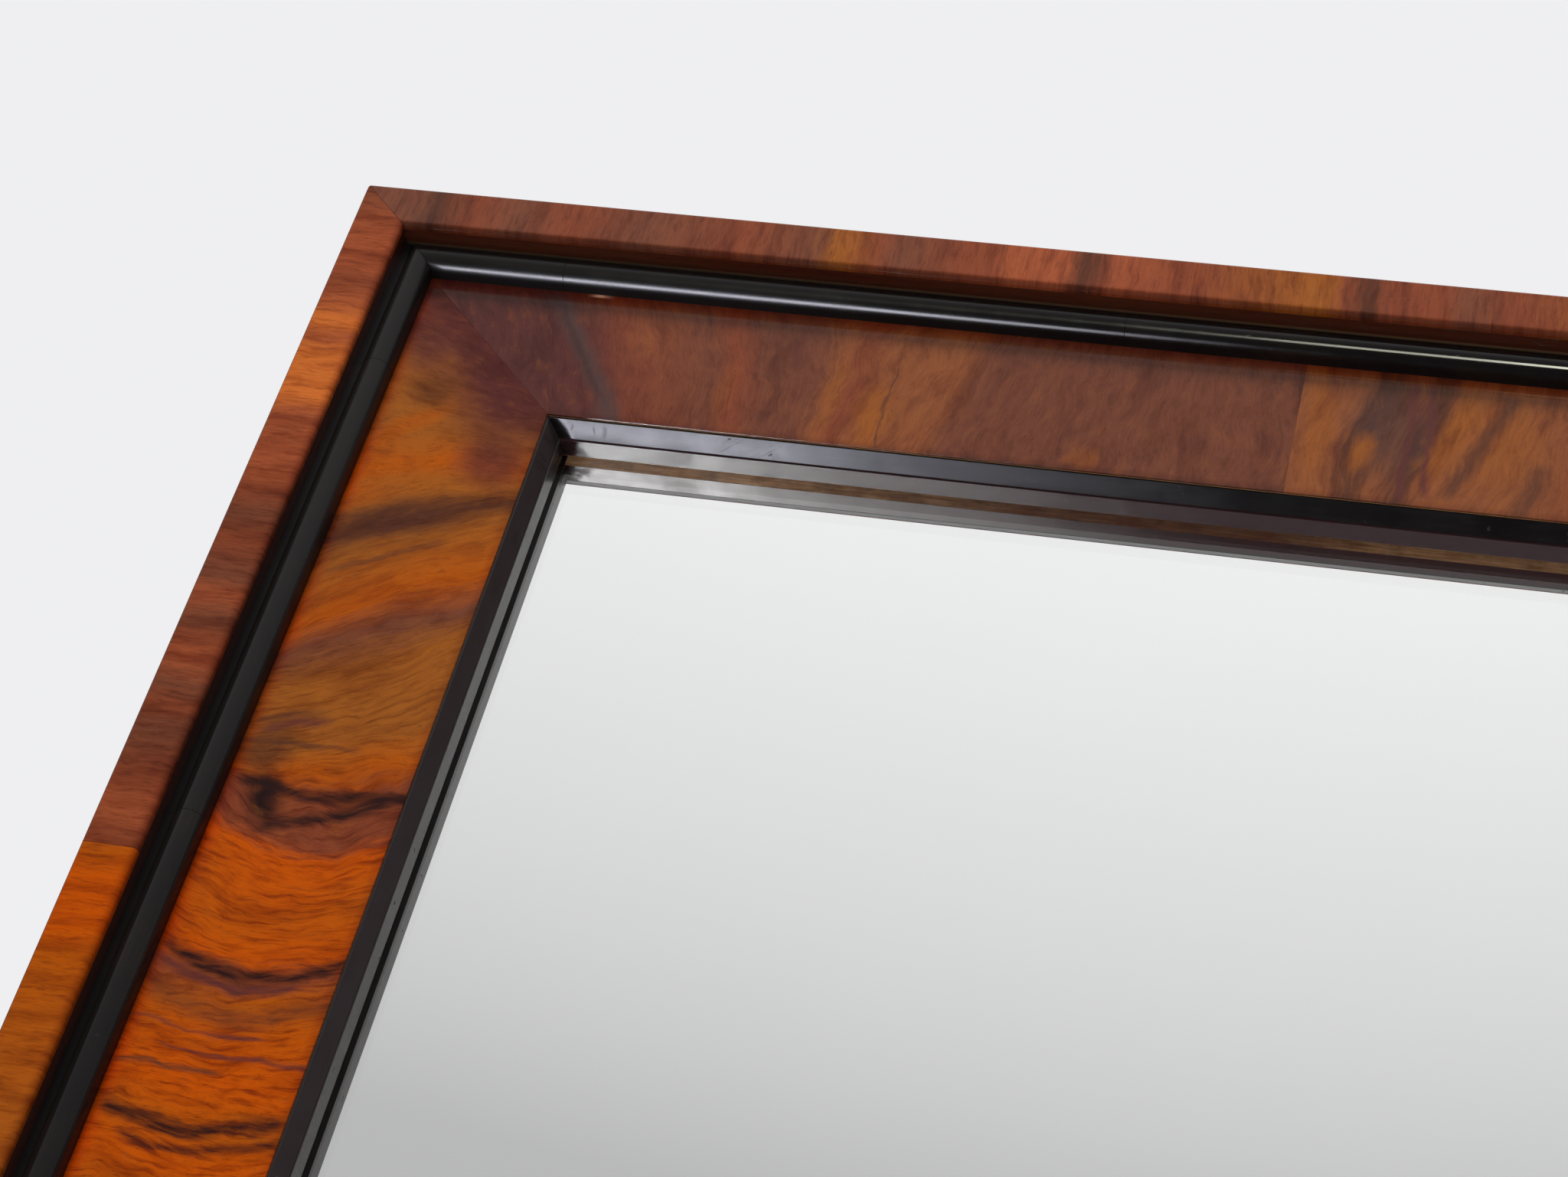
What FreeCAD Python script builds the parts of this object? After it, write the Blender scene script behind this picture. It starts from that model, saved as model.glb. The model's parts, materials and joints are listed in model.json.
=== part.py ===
import FreeCAD, Part
import os
from FreeCAD import Placement, Rotation, Vector
from math import hypot, pi, sqrt, tan

# Wall mirror in a crossbanded and veneered frame with ebonised mouldings.
# Millimetres, +Z up, the front faces -Y. The frame's back lies in the plane y = 0.
# The origin is on the back, midway between the two hangers, at the height of their ring pivots.
# In a section, w is the distance inward from the frame's outer edge and d the depth behind the rim's face.

# Whole frame
frame_width = 724.0
frame_height = 920.0
frame_depth = 53.0
member_width = 100.5
hanging_drop = 180.0  # from the top edge down to the ring pivots
corner_round = 2.5  # eased outer corners

# Raised rim and the facing that covers it
rim_width = 19.6
rim_rise = 14.0  # from the panel up to the rim's face
facing_thickness = 3.0
facing_outer_round = 1.2
facing_inner_round = 1.8
facing_leaf_length = 318.0
side_veneer_thickness = 1.0

# Ebonised bead, a half round that rises from a fillet and is stilted on its inner side
fillet_width = 2.5
fillet_drop = 9.0  # rim's face down to the fillet
bead_width = 11.0
bead_drop = 5.5  # rim's face down to the bead's crown
bead_first_joint = 85.0  # from the corner to the first joint between lengths
bead_length_step = 211.0

# Figured veneer on the flat panel
panel_veneer_thickness = 0.9
panel_leaves = 2

# Sight slip
slip_width = 4.9
slip_setback = 1.1  # panel's face down to the slip's nose
slip_nose = 0.6
slip_arris_inset = 0.3
slip_bevel_drop = 7.3  # panel's face down to the arris
slip_quirk = 0.5
quirk_inset = 0.8
sight_wall = 8.1

# Core joints and rebates
key_leg = 42.0
key_thickness = 2.5
key_depth_shares = (0.3, 0.7)
board_ledge = 8.0

# Glass
glass_thickness = 5.0
silvering_thickness = 0.15
glass_cover = 11.5  # how far the glass reaches behind the frame
glass_clearance = 1.0

# Rub blocks behind the glass
block_length = 40.0
block_width = 10.0
block_spacing = 220.0
rail_blocks = 2
stile_blocks = 3

# Back boards
board_thickness = 8.0
board_count = 3
board_lap = 9.0
board_gap = 0.6
board_clearance = 1.0

# Turn buttons
button_length = 36.0
button_width = 11.0
button_thickness = 1.6
button_edge = 0.35
button_pivot_inset = 9.0
button_spread = 190.0
button_pin_clearance = 0.06

# Round-head screws, for the buttons and the hangers
screw_shank_radius = 1.5
screw_length = 14.0
screw_tip = 2.6
screw_head_radius = 3.1
screw_head_height = 2.0
screw_slot_width = 0.8
screw_slot_depth = 0.9
pilot_clearance = 0.03
pilot_extra = 0.6

# Hangers
hanger_inset = 40.0
strap_width = 15.0
strap_thickness = 1.2
strap_length = 54.0
strap_end_round = 4.0
strap_holes = 2
strap_first_hole = 28.0
strap_hole_step = 18.0
strap_hole_clearance = 0.15
ring_wire_radius = 1.4
ring_half_width = 11.0
ring_corner_radius = 3.0
ring_drop = 18.0  # pivot down to the wire's lowest centre
loop_clearance = 0.08
loop_lift = 0.25

# Wall bumpers
bumper_radius = 8.0
bumper_thickness = 6.0
bumper_edge = 0.8
bumper_inset = 30.0

# One overrun serves all cuts
overrun = 4.0

# Heights of the frame and depths of its layers
top_edge = hanging_drop
bottom_edge = hanging_drop - frame_height
middle_height = (top_edge + bottom_edge) / 2
panel_depth = rim_rise
core_face_depth = rim_rise + panel_veneer_thickness
arris_depth = rim_rise + slip_bevel_drop
glass_depth = arris_depth + slip_quirk + sight_wall
silvering_depth = glass_depth + glass_thickness
block_depth = silvering_depth + silvering_thickness
board_depth = frame_depth - board_thickness

# Distances inward from the outer edge
bead_start = rim_width + fillet_width
bead_foot = bead_start + bead_width
core_width = member_width - slip_width
glass_edge = member_width - glass_cover
glass_rebate = glass_edge - glass_clearance
board_rebate = glass_rebate - board_ledge
board_edge = board_rebate + board_clearance
button_pivot = board_rebate - button_pivot_inset

# Each side: length, turn about Y, middle of its outer edge, and the way its joints are counted
SIDES = {
    "top": (frame_width, 180, 0, top_edge, -1),
    "bottom": (frame_width, 0, 0, bottom_edge, 1),
    "left": (frame_height, 90, -frame_width / 2, middle_height, 1),
    "right": (frame_height, -90, frame_width / 2, middle_height, -1),
}

# Each corner: side of the frame across and up
CORNERS = {
    "top_left": (-1, 1),
    "top_right": (1, 1),
    "bottom_left": (-1, -1),
    "bottom_right": (1, -1),
}

# Each turn button: the side that carries it and its place along that side
BUTTONS = {
    "top": ("top", 0),
    "bottom": ("bottom", 0),
    "left_upper": ("left", -button_spread),
    "left_lower": ("left", button_spread),
    "right_upper": ("right", button_spread),
    "right_lower": ("right", -button_spread),
}

HANGERS = {
    "left": -1,
    "right": 1,
}


def save(node, solids):
    """Write one node, as a single solid or as a group of separate ones."""
    shape = solids[0] if len(solids) == 1 else Part.makeCompound(solids)
    shape.exportStep(os.path.join("parts", node + ".step"))
    volume = sum(solid.Volume for solid in solids)
    print(node, len(solids), "solid(s)", round(volume, 1), "mm3", shape.isValid())


def placed(shape, side):
    """Move a shape from a side's own frame to its place in the mirror."""
    turn, across, up = SIDES[side][1:4]
    moved = shape.copy()
    moved.Placement = Placement(Vector(across, 0, up), Rotation(Vector(0, 1, 0), turn)).multiply(shape.Placement)
    return moved


def section_point(w, d):
    """A point of a side's own frame, at the middle of its length, from its place in the section."""
    return Vector(0, d - frame_depth, w)


def corner_arc(before, corner, after, radius):
    """The three points of a round that is tangent to both runs at a corner."""
    inward = (before - corner).normalize()
    onward = (after - corner).normalize()
    bisector = (inward + onward).normalize()
    half_angle = inward.getAngle(onward) / 2
    reach = radius / tan(half_angle)
    centre = corner + bisector * hypot(radius, reach)
    return corner + inward * reach, centre - bisector * radius, corner + onward * reach


def rounded_wire(corners):
    """A closed wire through corners, each given as a point and its round."""
    edges = []
    joints = []
    for index, (corner, radius) in enumerate(corners):
        before = corners[index - 1][0]
        after = corners[(index + 1) % len(corners)][0]
        joints.append(corner_arc(before, corner, after, radius) if radius else (corner,))
    for index, joint in enumerate(joints):
        previous = joints[index - 1][-1]
        edges.append(Part.LineSegment(previous, joint[0]).toShape())
        if len(joint) > 1:
            edges.append(Part.Arc(*joint).toShape())
    return Part.Wire(edges)


def strip(side, outline):
    """A mitred length of moulding: an outline of (w, d, round) run along one side."""
    length = SIDES[side][0]
    corners = [(section_point(w, d), radius) for w, d, radius in outline]
    return mitred(rounded_wire(corners), length)


def mitred(outline, length):
    """An outline run along a side and cut at both mitres."""
    run_length = length + overrun * 2
    run = Part.Face(outline).extrude(Vector(run_length, 0, 0))
    run.translate(Vector(-run_length / 2, 0, 0))
    front = -frame_depth - overrun
    inner = member_width + overrun
    corners = [
        Vector(-length / 2 - overrun, front, -overrun),
        Vector(length / 2 + overrun, front, -overrun),
        Vector(length / 2 - inner, front, inner),
        Vector(-length / 2 + inner, front, inner),
    ]
    base = Part.Face(Part.makePolygon(corners + corners[:1]))
    return run.common(base.extrude(Vector(0, frame_depth + overrun * 2, 0)))


def corner_cutters():
    """What is taken off the frame's four outer corners to ease them."""
    depth = frame_depth + overrun * 2
    cutters = []
    for across, up in CORNERS.values():
        edge = bottom_edge if up < 0 else top_edge
        centre = Vector(across * (frame_width / 2 - corner_round), -frame_depth - overrun, edge - up * corner_round)
        size = corner_round + overrun
        low = Vector(min(0, across * size), 0, min(0, up * size))
        block = Part.makeBox(size, depth, size, centre + low)
        cutters.append(block.cut(Part.makeCylinder(corner_round, depth, centre, Vector(0, 1, 0))))
    return cutters


def lengths(solid, side, joints):
    """Part a strip into separate lengths at joints counted from its left or upper end."""
    length = SIDES[side][0]
    sign = SIDES[side][4]
    ends = [-overrun] + [joint for joint in joints if 0 < joint < length] + [length + overrun]
    pieces = []
    for start, stop in zip(ends, ends[1:]):
        low = min(sign * (start - length / 2), sign * (stop - length / 2))
        slab = Part.makeBox(stop - start, frame_depth + overrun * 2, member_width + overrun * 2,
                            Vector(low, -frame_depth - overrun, -overrun))
        pieces += solid.common(slab).Solids
    return pieces


def stepped(first, step, length):
    """Joint places at a steady step along a length."""
    places = []
    place = first
    while place < length:
        places.append(place)
        place += step
    return places


def make_facings(cutters):
    for side in SIDES:
        run = strip(side, [
            (0, facing_thickness, 0),
            (0, 0, facing_outer_round),
            (rim_width, 0, facing_inner_round),
            (rim_width, facing_thickness, 0),
        ])
        joints = stepped(facing_leaf_length, facing_leaf_length, SIDES[side][0])
        leaves = lengths(run, side, joints)
        save("crossband_" + side, [placed(leaf, side).cut(cutters).Solids[0] for leaf in leaves])


def make_rims():
    for side in SIDES:
        run = strip(side, [
            (side_veneer_thickness, core_face_depth, 0),
            (side_veneer_thickness, facing_thickness, 0),
            (rim_width, facing_thickness, 0),
            (rim_width, core_face_depth, 0),
        ])
        save("rim_" + side, placed(run, side).Solids)


def make_side_veneers(cutters):
    for side in SIDES:
        run = strip(side, [
            (0, frame_depth, 0),
            (0, facing_thickness, 0),
            (side_veneer_thickness, facing_thickness, 0),
            (side_veneer_thickness, frame_depth, 0),
        ])
        save("side_veneer_" + side, placed(run, side).cut(cutters).Solids)


def make_beads():
    radius = bead_width / 2
    middle = bead_start + radius
    spring = bead_drop + radius
    outer_end = middle - sqrt(radius ** 2 - (spring - fillet_drop) ** 2)
    for side in SIDES:
        length = SIDES[side][0]
        outline = [
            section_point(bead_foot, spring),
            section_point(bead_foot, core_face_depth),
            section_point(rim_width, core_face_depth),
            section_point(rim_width, fillet_drop),
            section_point(outer_end, fillet_drop),
        ]
        edges = [Part.LineSegment(a, b).toShape() for a, b in zip(outline, outline[1:])]
        edges.append(Part.Arc(outline[-1], section_point(middle, bead_drop), outline[0]).toShape())
        run = mitred(Part.Wire(edges), length)
        joints = stepped(bead_first_joint, bead_length_step, length)
        save("bead_" + side, [placed(piece, side) for piece in lengths(run, side, joints)])


def make_panel_veneers():
    for side in SIDES:
        length = SIDES[side][0]
        run = strip(side, [
            (bead_foot, core_face_depth, 0),
            (bead_foot, panel_depth, 0),
            (core_width, panel_depth, 0),
            (core_width, core_face_depth, 0),
        ])
        leaf = length / panel_leaves
        leaves = lengths(run, side, stepped(leaf, leaf, length))
        save("panel_veneer_" + side, [placed(piece, side) for piece in leaves])


def make_slips():
    nose_depth = panel_depth + slip_setback
    arris = member_width - slip_arris_inset
    quirk = member_width - quirk_inset
    for side in SIDES:
        run = strip(side, [
            (core_width, glass_depth, 0),
            (core_width, nose_depth, 0),
            (core_width + slip_nose, nose_depth, 0),
            (arris, arris_depth, 0),
            (quirk, arris_depth, 0),
            (quirk, arris_depth + slip_quirk, 0),
            (member_width, arris_depth + slip_quirk, 0),
            (member_width, glass_depth, 0),
        ])
        save("sight_slip_" + side, placed(run, side).Solids)


def key_solids(corner):
    """The two keys across one mitre."""
    across, up = CORNERS[corner]
    edge = bottom_edge if up < 0 else top_edge
    tip = Vector(across * (frame_width / 2 - side_veneer_thickness), 0, edge - up * side_veneer_thickness)
    core_thickness = frame_depth - core_face_depth
    keys = []
    for share in key_depth_shares:
        front = core_face_depth + core_thickness * share - key_thickness / 2 - frame_depth
        corners = [
            tip + Vector(0, front, 0),
            tip + Vector(-across * key_leg, front, 0),
            tip + Vector(0, front, -up * key_leg),
        ]
        base = Part.Face(Part.makePolygon(corners + corners[:1]))
        keys.append(base.extrude(Vector(0, key_thickness, 0)))
    return keys


def make_keys():
    for corner in CORNERS:
        save("mitre_keys_" + corner, key_solids(corner))


def screw(place):
    """A round-head slotted screw driven towards the front, its head seated at a place."""
    body = Part.makeCylinder(screw_shank_radius, screw_length - screw_tip, place, Vector(0, -1, 0))
    tip_place = place - Vector(0, screw_length - screw_tip, 0)
    tip = Part.makeCone(screw_shank_radius, 0, screw_tip, tip_place, Vector(0, -1, 0))
    dome_radius = (screw_head_radius ** 2 + screw_head_height ** 2) / (screw_head_height * 2)
    dome_centre = place + Vector(0, screw_head_height - dome_radius, 0)
    side = screw_head_radius * 2
    cap_box = Part.makeBox(side, screw_head_height, side,
                           place - Vector(screw_head_radius, 0, screw_head_radius))
    head = Part.makeSphere(dome_radius, dome_centre).common(cap_box)
    slot = Part.makeBox(side, screw_slot_depth + overrun, screw_slot_width,
                        place + Vector(-screw_head_radius, screw_head_height - screw_slot_depth, -screw_slot_width / 2))
    return head.cut(slot).fuse([body, tip]).removeSplitter()


def button_places():
    """Each turn button's pivot on the frame's back."""
    places = {}
    for name, (side, along) in BUTTONS.items():
        turn, across, up = SIDES[side][1:4]
        whole = Placement(Vector(across, 0, up), Rotation(Vector(0, 1, 0), turn))
        places[name] = whole.multVec(Vector(along, 0, button_pivot))
    return places


def hanger_place(side):
    """The ring pivot's foot on the frame's back."""
    return Vector(HANGERS[side] * (frame_width / 2 - hanger_inset), 0, 0)


def hanger_screw_places(side):
    """The places of one hanger's screws on the frame's back."""
    return [hanger_place(side) - Vector(0, 0, strap_first_hole + strap_hole_step * index)
            for index in range(strap_holes)]


def screw_places():
    """Every screw's head seat: button screws, then hanger screws."""
    buttons = [place + Vector(0, button_thickness, 0) for place in button_places().values()]
    hangers = [place + Vector(0, strap_thickness, 0) for side in HANGERS for place in hanger_screw_places(side)]
    return buttons, hangers


def pilot_holes():
    """The holes that the screws are driven into."""
    holes = []
    for seat in sum(screw_places(), []):
        mouth = Vector(seat.x, overrun, seat.z)
        depth = screw_length - seat.y + pilot_extra
        holes.append(Part.makeCylinder(screw_shank_radius + pilot_clearance, depth + overrun, mouth, Vector(0, -1, 0)))
    return holes


def make_cores():
    cutters = pilot_holes()
    for corner in CORNERS:
        cutters += key_solids(corner)
    for side in SIDES:
        run = strip(side, [
            (side_veneer_thickness, core_face_depth, 0),
            (core_width, core_face_depth, 0),
            (core_width, glass_depth, 0),
            (glass_rebate, glass_depth, 0),
            (glass_rebate, board_depth, 0),
            (board_rebate, board_depth, 0),
            (board_rebate, frame_depth, 0),
            (side_veneer_thickness, frame_depth, 0),
        ])
        save("core_" + side, placed(run, side).cut(cutters).Solids)


def sheet(margin, front, thickness):
    """A flat sheet that fills the frame up to a margin, at a depth."""
    return Part.makeBox(frame_width - margin * 2, thickness, frame_height - margin * 2,
                        Vector(-frame_width / 2 + margin, front - frame_depth, bottom_edge + margin))


def make_glass():
    save("mirror_glass", [sheet(glass_edge, glass_depth, glass_thickness)])
    save("mirror_silvering", [sheet(glass_edge, silvering_depth, silvering_thickness)])


def make_blocks():
    for side in SIDES:
        count = rail_blocks if side in ("top", "bottom") else stile_blocks
        blocks = []
        for index in range(count):
            middle = (index - (count - 1) / 2) * block_spacing
            corner = Vector(middle - block_length / 2, block_depth - frame_depth, glass_rebate)
            block = Part.makeBox(block_length, board_depth - block_depth, block_width, corner)
            blocks.append(placed(block, side))
        save("rub_blocks_" + side, blocks)


def make_boards():
    left = -frame_width / 2 + board_edge
    field = frame_width - board_edge * 2
    pitch = field / board_count
    half = board_thickness / 2
    height = frame_height - board_edge * 2
    front = board_depth - frame_depth
    for index in range(board_count):
        low = left + pitch * index
        high = low + pitch
        first = index == 0
        last = index == board_count - 1
        layers = []
        for layer, lap in ((0, board_lap / 2), (1, -board_lap / 2)):
            start = low if first else low + lap + board_gap / 2
            stop = high if last else high + lap - board_gap / 2
            layers.append(Part.makeBox(stop - start, half, height,
                                       Vector(start, front + half * layer, bottom_edge + board_edge)))
        save("back_board_" + str(index + 1), [layers[0].fuse(layers[1]).removeSplitter()])


def make_buttons():
    radius = button_width / 2
    hole_radius = screw_shank_radius + button_pin_clearance
    for name, (side, along) in BUTTONS.items():
        pivot = Vector(along, 0, button_pivot)
        far = pivot + Vector(0, 0, button_length - button_width)
        bar = Part.makeBox(button_width, button_thickness, button_length - button_width,
                           pivot - Vector(radius, 0, 0))
        ends = [Part.makeCylinder(radius, button_thickness, end, Vector(0, 1, 0)) for end in (pivot, far)]
        plate = bar.fuse(ends).removeSplitter()
        rear_edges = [edge for edge in plate.Edges if edge.BoundBox.YMin > button_thickness / 2]
        plate = plate.makeChamfer(button_edge, rear_edges)
        hole = Part.makeCylinder(hole_radius, button_thickness + overrun * 2, pivot - Vector(0, overrun, 0),
                                 Vector(0, 1, 0))
        save("turn_button_" + name, placed(plate.cut(hole), side).Solids)


def make_screws():
    button_seats, hanger_seats = screw_places()
    save("turn_button_screws", [screw(seat) for seat in button_seats])
    save("hanger_screws", [screw(seat) for seat in hanger_seats])


def loop_radius():
    """Outer radius of the loop that the strap's end is rolled into."""
    return ring_wire_radius + loop_clearance + strap_thickness


def ring_axis(side):
    """The middle of the ring's pivot."""
    return hanger_place(side) + Vector(0, loop_radius() + loop_lift, 0)


def make_straps():
    for side in HANGERS:
        foot = hanger_place(side)
        plate = Part.makeBox(strap_width, strap_thickness, strap_length,
                             foot - Vector(strap_width / 2, 0, strap_length))
        low_edges = [edge for edge in plate.Edges
                     if edge.BoundBox.ZMax < -strap_length / 2 and edge.BoundBox.YLength > strap_thickness / 2]
        plate = plate.makeFillet(strap_end_round, low_edges)
        start = ring_axis(side) - Vector(strap_width / 2, 0, 0)
        loop = Part.makeCylinder(loop_radius(), strap_width, start, Vector(1, 0, 0))
        bore = Part.makeCylinder(ring_wire_radius + loop_clearance, strap_width + overrun * 2,
                                 start - Vector(overrun, 0, 0), Vector(1, 0, 0))
        holes = [Part.makeCylinder(screw_shank_radius + strap_hole_clearance, strap_thickness + overrun * 2,
                                   place - Vector(0, overrun, 0), Vector(0, 1, 0))
                 for place in hanger_screw_places(side)]
        strap = plate.fuse(loop).cut([bore] + holes).removeSplitter()
        save("hanger_strap_" + side, strap.Solids)


def make_rings():
    bow_drop = ring_drop - ring_half_width
    mid = ring_corner_radius * (1 - 1 / sqrt(2))
    bow_mid = ring_half_width / sqrt(2)
    for side in HANGERS:
        axis = ring_axis(side)
        halves = []
        for sign in (-1, 1):
            top = axis
            corner_start = axis + Vector(sign * (ring_half_width - ring_corner_radius), 0, 0)
            corner_mid = axis + Vector(sign * (ring_half_width - mid), 0, -mid)
            corner_end = axis + Vector(sign * ring_half_width, 0, -ring_corner_radius)
            bow_start = axis + Vector(sign * ring_half_width, 0, -bow_drop)
            bow_middle = axis + Vector(sign * bow_mid, 0, -bow_drop - bow_mid)
            bow_end = axis + Vector(0, 0, -ring_drop)
            path = Part.Wire([
                Part.LineSegment(top, corner_start).toShape(),
                Part.Arc(corner_start, corner_mid, corner_end).toShape(),
                Part.LineSegment(corner_end, bow_start).toShape(),
                Part.Arc(bow_start, bow_middle, bow_end).toShape(),
            ])
            wire = Part.Wire([Part.makeCircle(ring_wire_radius, top, Vector(1, 0, 0))])
            halves.append(path.makePipeShell([wire], True, False))
        ring = halves[0].fuse(halves[1]).removeSplitter()
        straight = ring_half_width - ring_corner_radius + bow_drop - ring_corner_radius
        length = straight * 2 + (ring_corner_radius + ring_half_width) * pi
        print("ring volume over wire section times length",
              round(ring.Volume / (pi * ring_wire_radius ** 2 * length), 4))
        save("hanger_ring_" + side, ring.Solids)


def make_bumpers():
    for side, sign in HANGERS.items():
        foot = Vector(sign * (frame_width / 2 - bumper_inset), 0, bottom_edge + bumper_inset)
        pad = Part.makeCylinder(bumper_radius, bumper_thickness, foot, Vector(0, 1, 0))
        rear_edges = [edge for edge in pad.Edges if edge.BoundBox.YMin > bumper_thickness / 2]
        save("wall_bumper_" + side, [pad.makeChamfer(bumper_edge, rear_edges)])


def main():
    os.makedirs("parts", exist_ok=True)
    cutters = corner_cutters()
    make_cores()
    make_keys()
    make_rims()
    make_facings(cutters)
    make_side_veneers(cutters)
    make_beads()
    make_panel_veneers()
    make_slips()
    make_glass()
    make_blocks()
    make_boards()
    make_buttons()
    make_screws()
    make_straps()
    make_rings()
    make_bumpers()
    for name, place in button_places().items():
        print("button pivot", name, place)
    for side in HANGERS:
        print("ring pivot", side, ring_axis(side))


main()
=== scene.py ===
"""The looks of a wall mirror: crossbanded rim, black bead and slip, figured panel, glass and back.

Lengths are in metres in the frame's own axes: x to the right, y to the back, z up. On a member, along
runs from its left or upper end, across runs inwards from its outer edge, and depth runs back from the
plane of the rim's face.
"""

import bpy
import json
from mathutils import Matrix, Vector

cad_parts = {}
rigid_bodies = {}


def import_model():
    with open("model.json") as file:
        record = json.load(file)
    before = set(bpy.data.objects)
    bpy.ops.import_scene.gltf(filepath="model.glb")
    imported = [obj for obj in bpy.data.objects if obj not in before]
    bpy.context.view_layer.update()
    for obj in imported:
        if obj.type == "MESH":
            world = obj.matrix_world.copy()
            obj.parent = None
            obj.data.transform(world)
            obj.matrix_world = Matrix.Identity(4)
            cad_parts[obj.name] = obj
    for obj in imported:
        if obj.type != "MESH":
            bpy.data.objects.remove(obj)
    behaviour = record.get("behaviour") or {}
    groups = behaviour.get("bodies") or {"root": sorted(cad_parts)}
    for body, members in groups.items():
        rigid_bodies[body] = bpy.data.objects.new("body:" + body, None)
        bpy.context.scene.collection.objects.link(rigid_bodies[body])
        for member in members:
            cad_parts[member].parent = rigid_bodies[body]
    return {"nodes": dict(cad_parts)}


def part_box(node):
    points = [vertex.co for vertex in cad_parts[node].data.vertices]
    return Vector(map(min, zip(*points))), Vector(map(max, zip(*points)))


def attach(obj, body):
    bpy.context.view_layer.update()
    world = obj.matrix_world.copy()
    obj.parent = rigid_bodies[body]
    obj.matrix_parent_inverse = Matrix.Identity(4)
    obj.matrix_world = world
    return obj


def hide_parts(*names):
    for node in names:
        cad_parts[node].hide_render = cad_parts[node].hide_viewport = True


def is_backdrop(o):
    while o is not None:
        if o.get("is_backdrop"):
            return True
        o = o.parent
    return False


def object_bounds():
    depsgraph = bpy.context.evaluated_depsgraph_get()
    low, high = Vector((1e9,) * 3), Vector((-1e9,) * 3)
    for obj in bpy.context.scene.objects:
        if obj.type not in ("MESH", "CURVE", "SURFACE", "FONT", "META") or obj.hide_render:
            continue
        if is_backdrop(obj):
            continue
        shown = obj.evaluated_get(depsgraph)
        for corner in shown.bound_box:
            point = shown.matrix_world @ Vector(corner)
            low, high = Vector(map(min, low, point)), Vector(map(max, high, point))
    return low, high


bl_info = {
    "name": "Veneered Wall Mirror",
    "version": (1, 0, 0),
    "blender": (4, 5, 0),
    "location": "View3D > Sidebar > Mirror",
    "description": "Builds the veneers, mouldings, glass and back fittings of a wall mirror on its frame",
    "category": "Add Mesh",
}

import inspect
import json
import math

import bmesh
import bpy
from bpy.props import FloatProperty, FloatVectorProperty, PointerProperty
from mathutils import Matrix, Vector

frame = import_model()
CAD_LOW, CAD_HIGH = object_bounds()

MM = 0.001
SIDES = ("top", "bottom", "left", "right")
RAILS = ("top", "bottom")
STILES = ("left", "right")
BODY = "frame"

# The figured panel's middle and half width across a member, the line that streaks turn about, and how far
# along a member short strokes come up
PANEL_MIDDLE = 64.5 * MM
PANEL_HALF = 31 * MM
STREAK_MIDDLE = 64 * MM
STROKES_GROW = (0.17, 0.29)

# The figure that is lost at each joint, the slip's front to its upright wall, and the bead's facets
LEAF_GAP = 16 * MM
WALL_DROP = 6.6 * MM
BEAD_STEPS = 26

# Seeds set apart for each side's leaves, and the step between seeds
SIDE_SEEDS = 5
SEED_STEP = 3.71

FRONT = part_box("crossband_top")[0].y
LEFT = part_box("side_veneer_left")[0].x
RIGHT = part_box("side_veneer_right")[1].x
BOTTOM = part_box("side_veneer_bottom")[0].z
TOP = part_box("side_veneer_top")[1].z
WIDTH = RIGHT - LEFT
HEIGHT = TOP - BOTTOM
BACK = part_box("core_top")[1].y
CENTRE = Vector(((LEFT + RIGHT) / 2, BACK, (BOTTOM + TOP) / 2))


def across_range(kind):
    """How far in from the frame's outer edge a moulding starts and stops."""
    low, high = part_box(kind + "_top")
    return TOP - high.z, TOP - low.z


def depth_range(kind):
    """How far behind the rim's face a moulding starts and stops."""
    low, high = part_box(kind + "_top")
    return low.y - FRONT, high.y - FRONT


def section(kind):
    """A moulding's limits across a member and behind the rim's face."""
    return *across_range(kind), *depth_range(kind)


# The members' corners, directions and lengths
MEMBERS = {
    "top": (Vector((LEFT, FRONT, TOP)), Vector((1, 0, 0)), Vector((0, 0, -1)), WIDTH),
    "bottom": (Vector((LEFT, FRONT, BOTTOM)), Vector((1, 0, 0)), Vector((0, 0, 1)), WIDTH),
    "left": (Vector((LEFT, FRONT, TOP)), Vector((0, 0, -1)), Vector((1, 0, 0)), HEIGHT),
    "right": (Vector((RIGHT, FRONT, TOP)), Vector((0, 0, -1)), Vector((-1, 0, 0)), HEIGHT),
}

# Where the glass, the slip's upright wall, the rim's inner edge and the slip's inner edge lie
GLASS_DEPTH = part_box("mirror_glass")[0].y - FRONT
WALL_DEPTH = depth_range("sight_slip")[0] + WALL_DROP
RIM_ACROSS = across_range("crossband")[1]
SIGHT_ACROSS = across_range("sight_slip")[1]
SIGHT_HALF_WIDTH = WIDTH / 2 - SIGHT_ACROSS
SIGHT_HALF_HEIGHT = HEIGHT / 2 - SIGHT_ACROSS


# Sizes, colours and the stage that a user would change

def length(name, description, default):
    return FloatProperty(name=name, description=description, default=default, unit="LENGTH", precision=5)


def watts(name, description, default):
    return FloatProperty(name=name, description=description, default=default, min=0, unit="POWER")


def colour(name, description, red, green, blue):
    """A colour chosen on the 0 to 255 scale and kept in linear light."""
    return FloatVectorProperty(name=name, description=description, default=linear(red, green, blue),
                               subtype="COLOR", size=3, min=0, max=1)


def linear(red, green, blue):
    """Linear light for a screen colour on the 0 to 255 scale."""
    return tuple(share / 12.92 if share <= 0.04045 else ((share + 0.055) / 1.055) ** 2.4
                 for share in (red / 255, green / 255, blue / 255))


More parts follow.
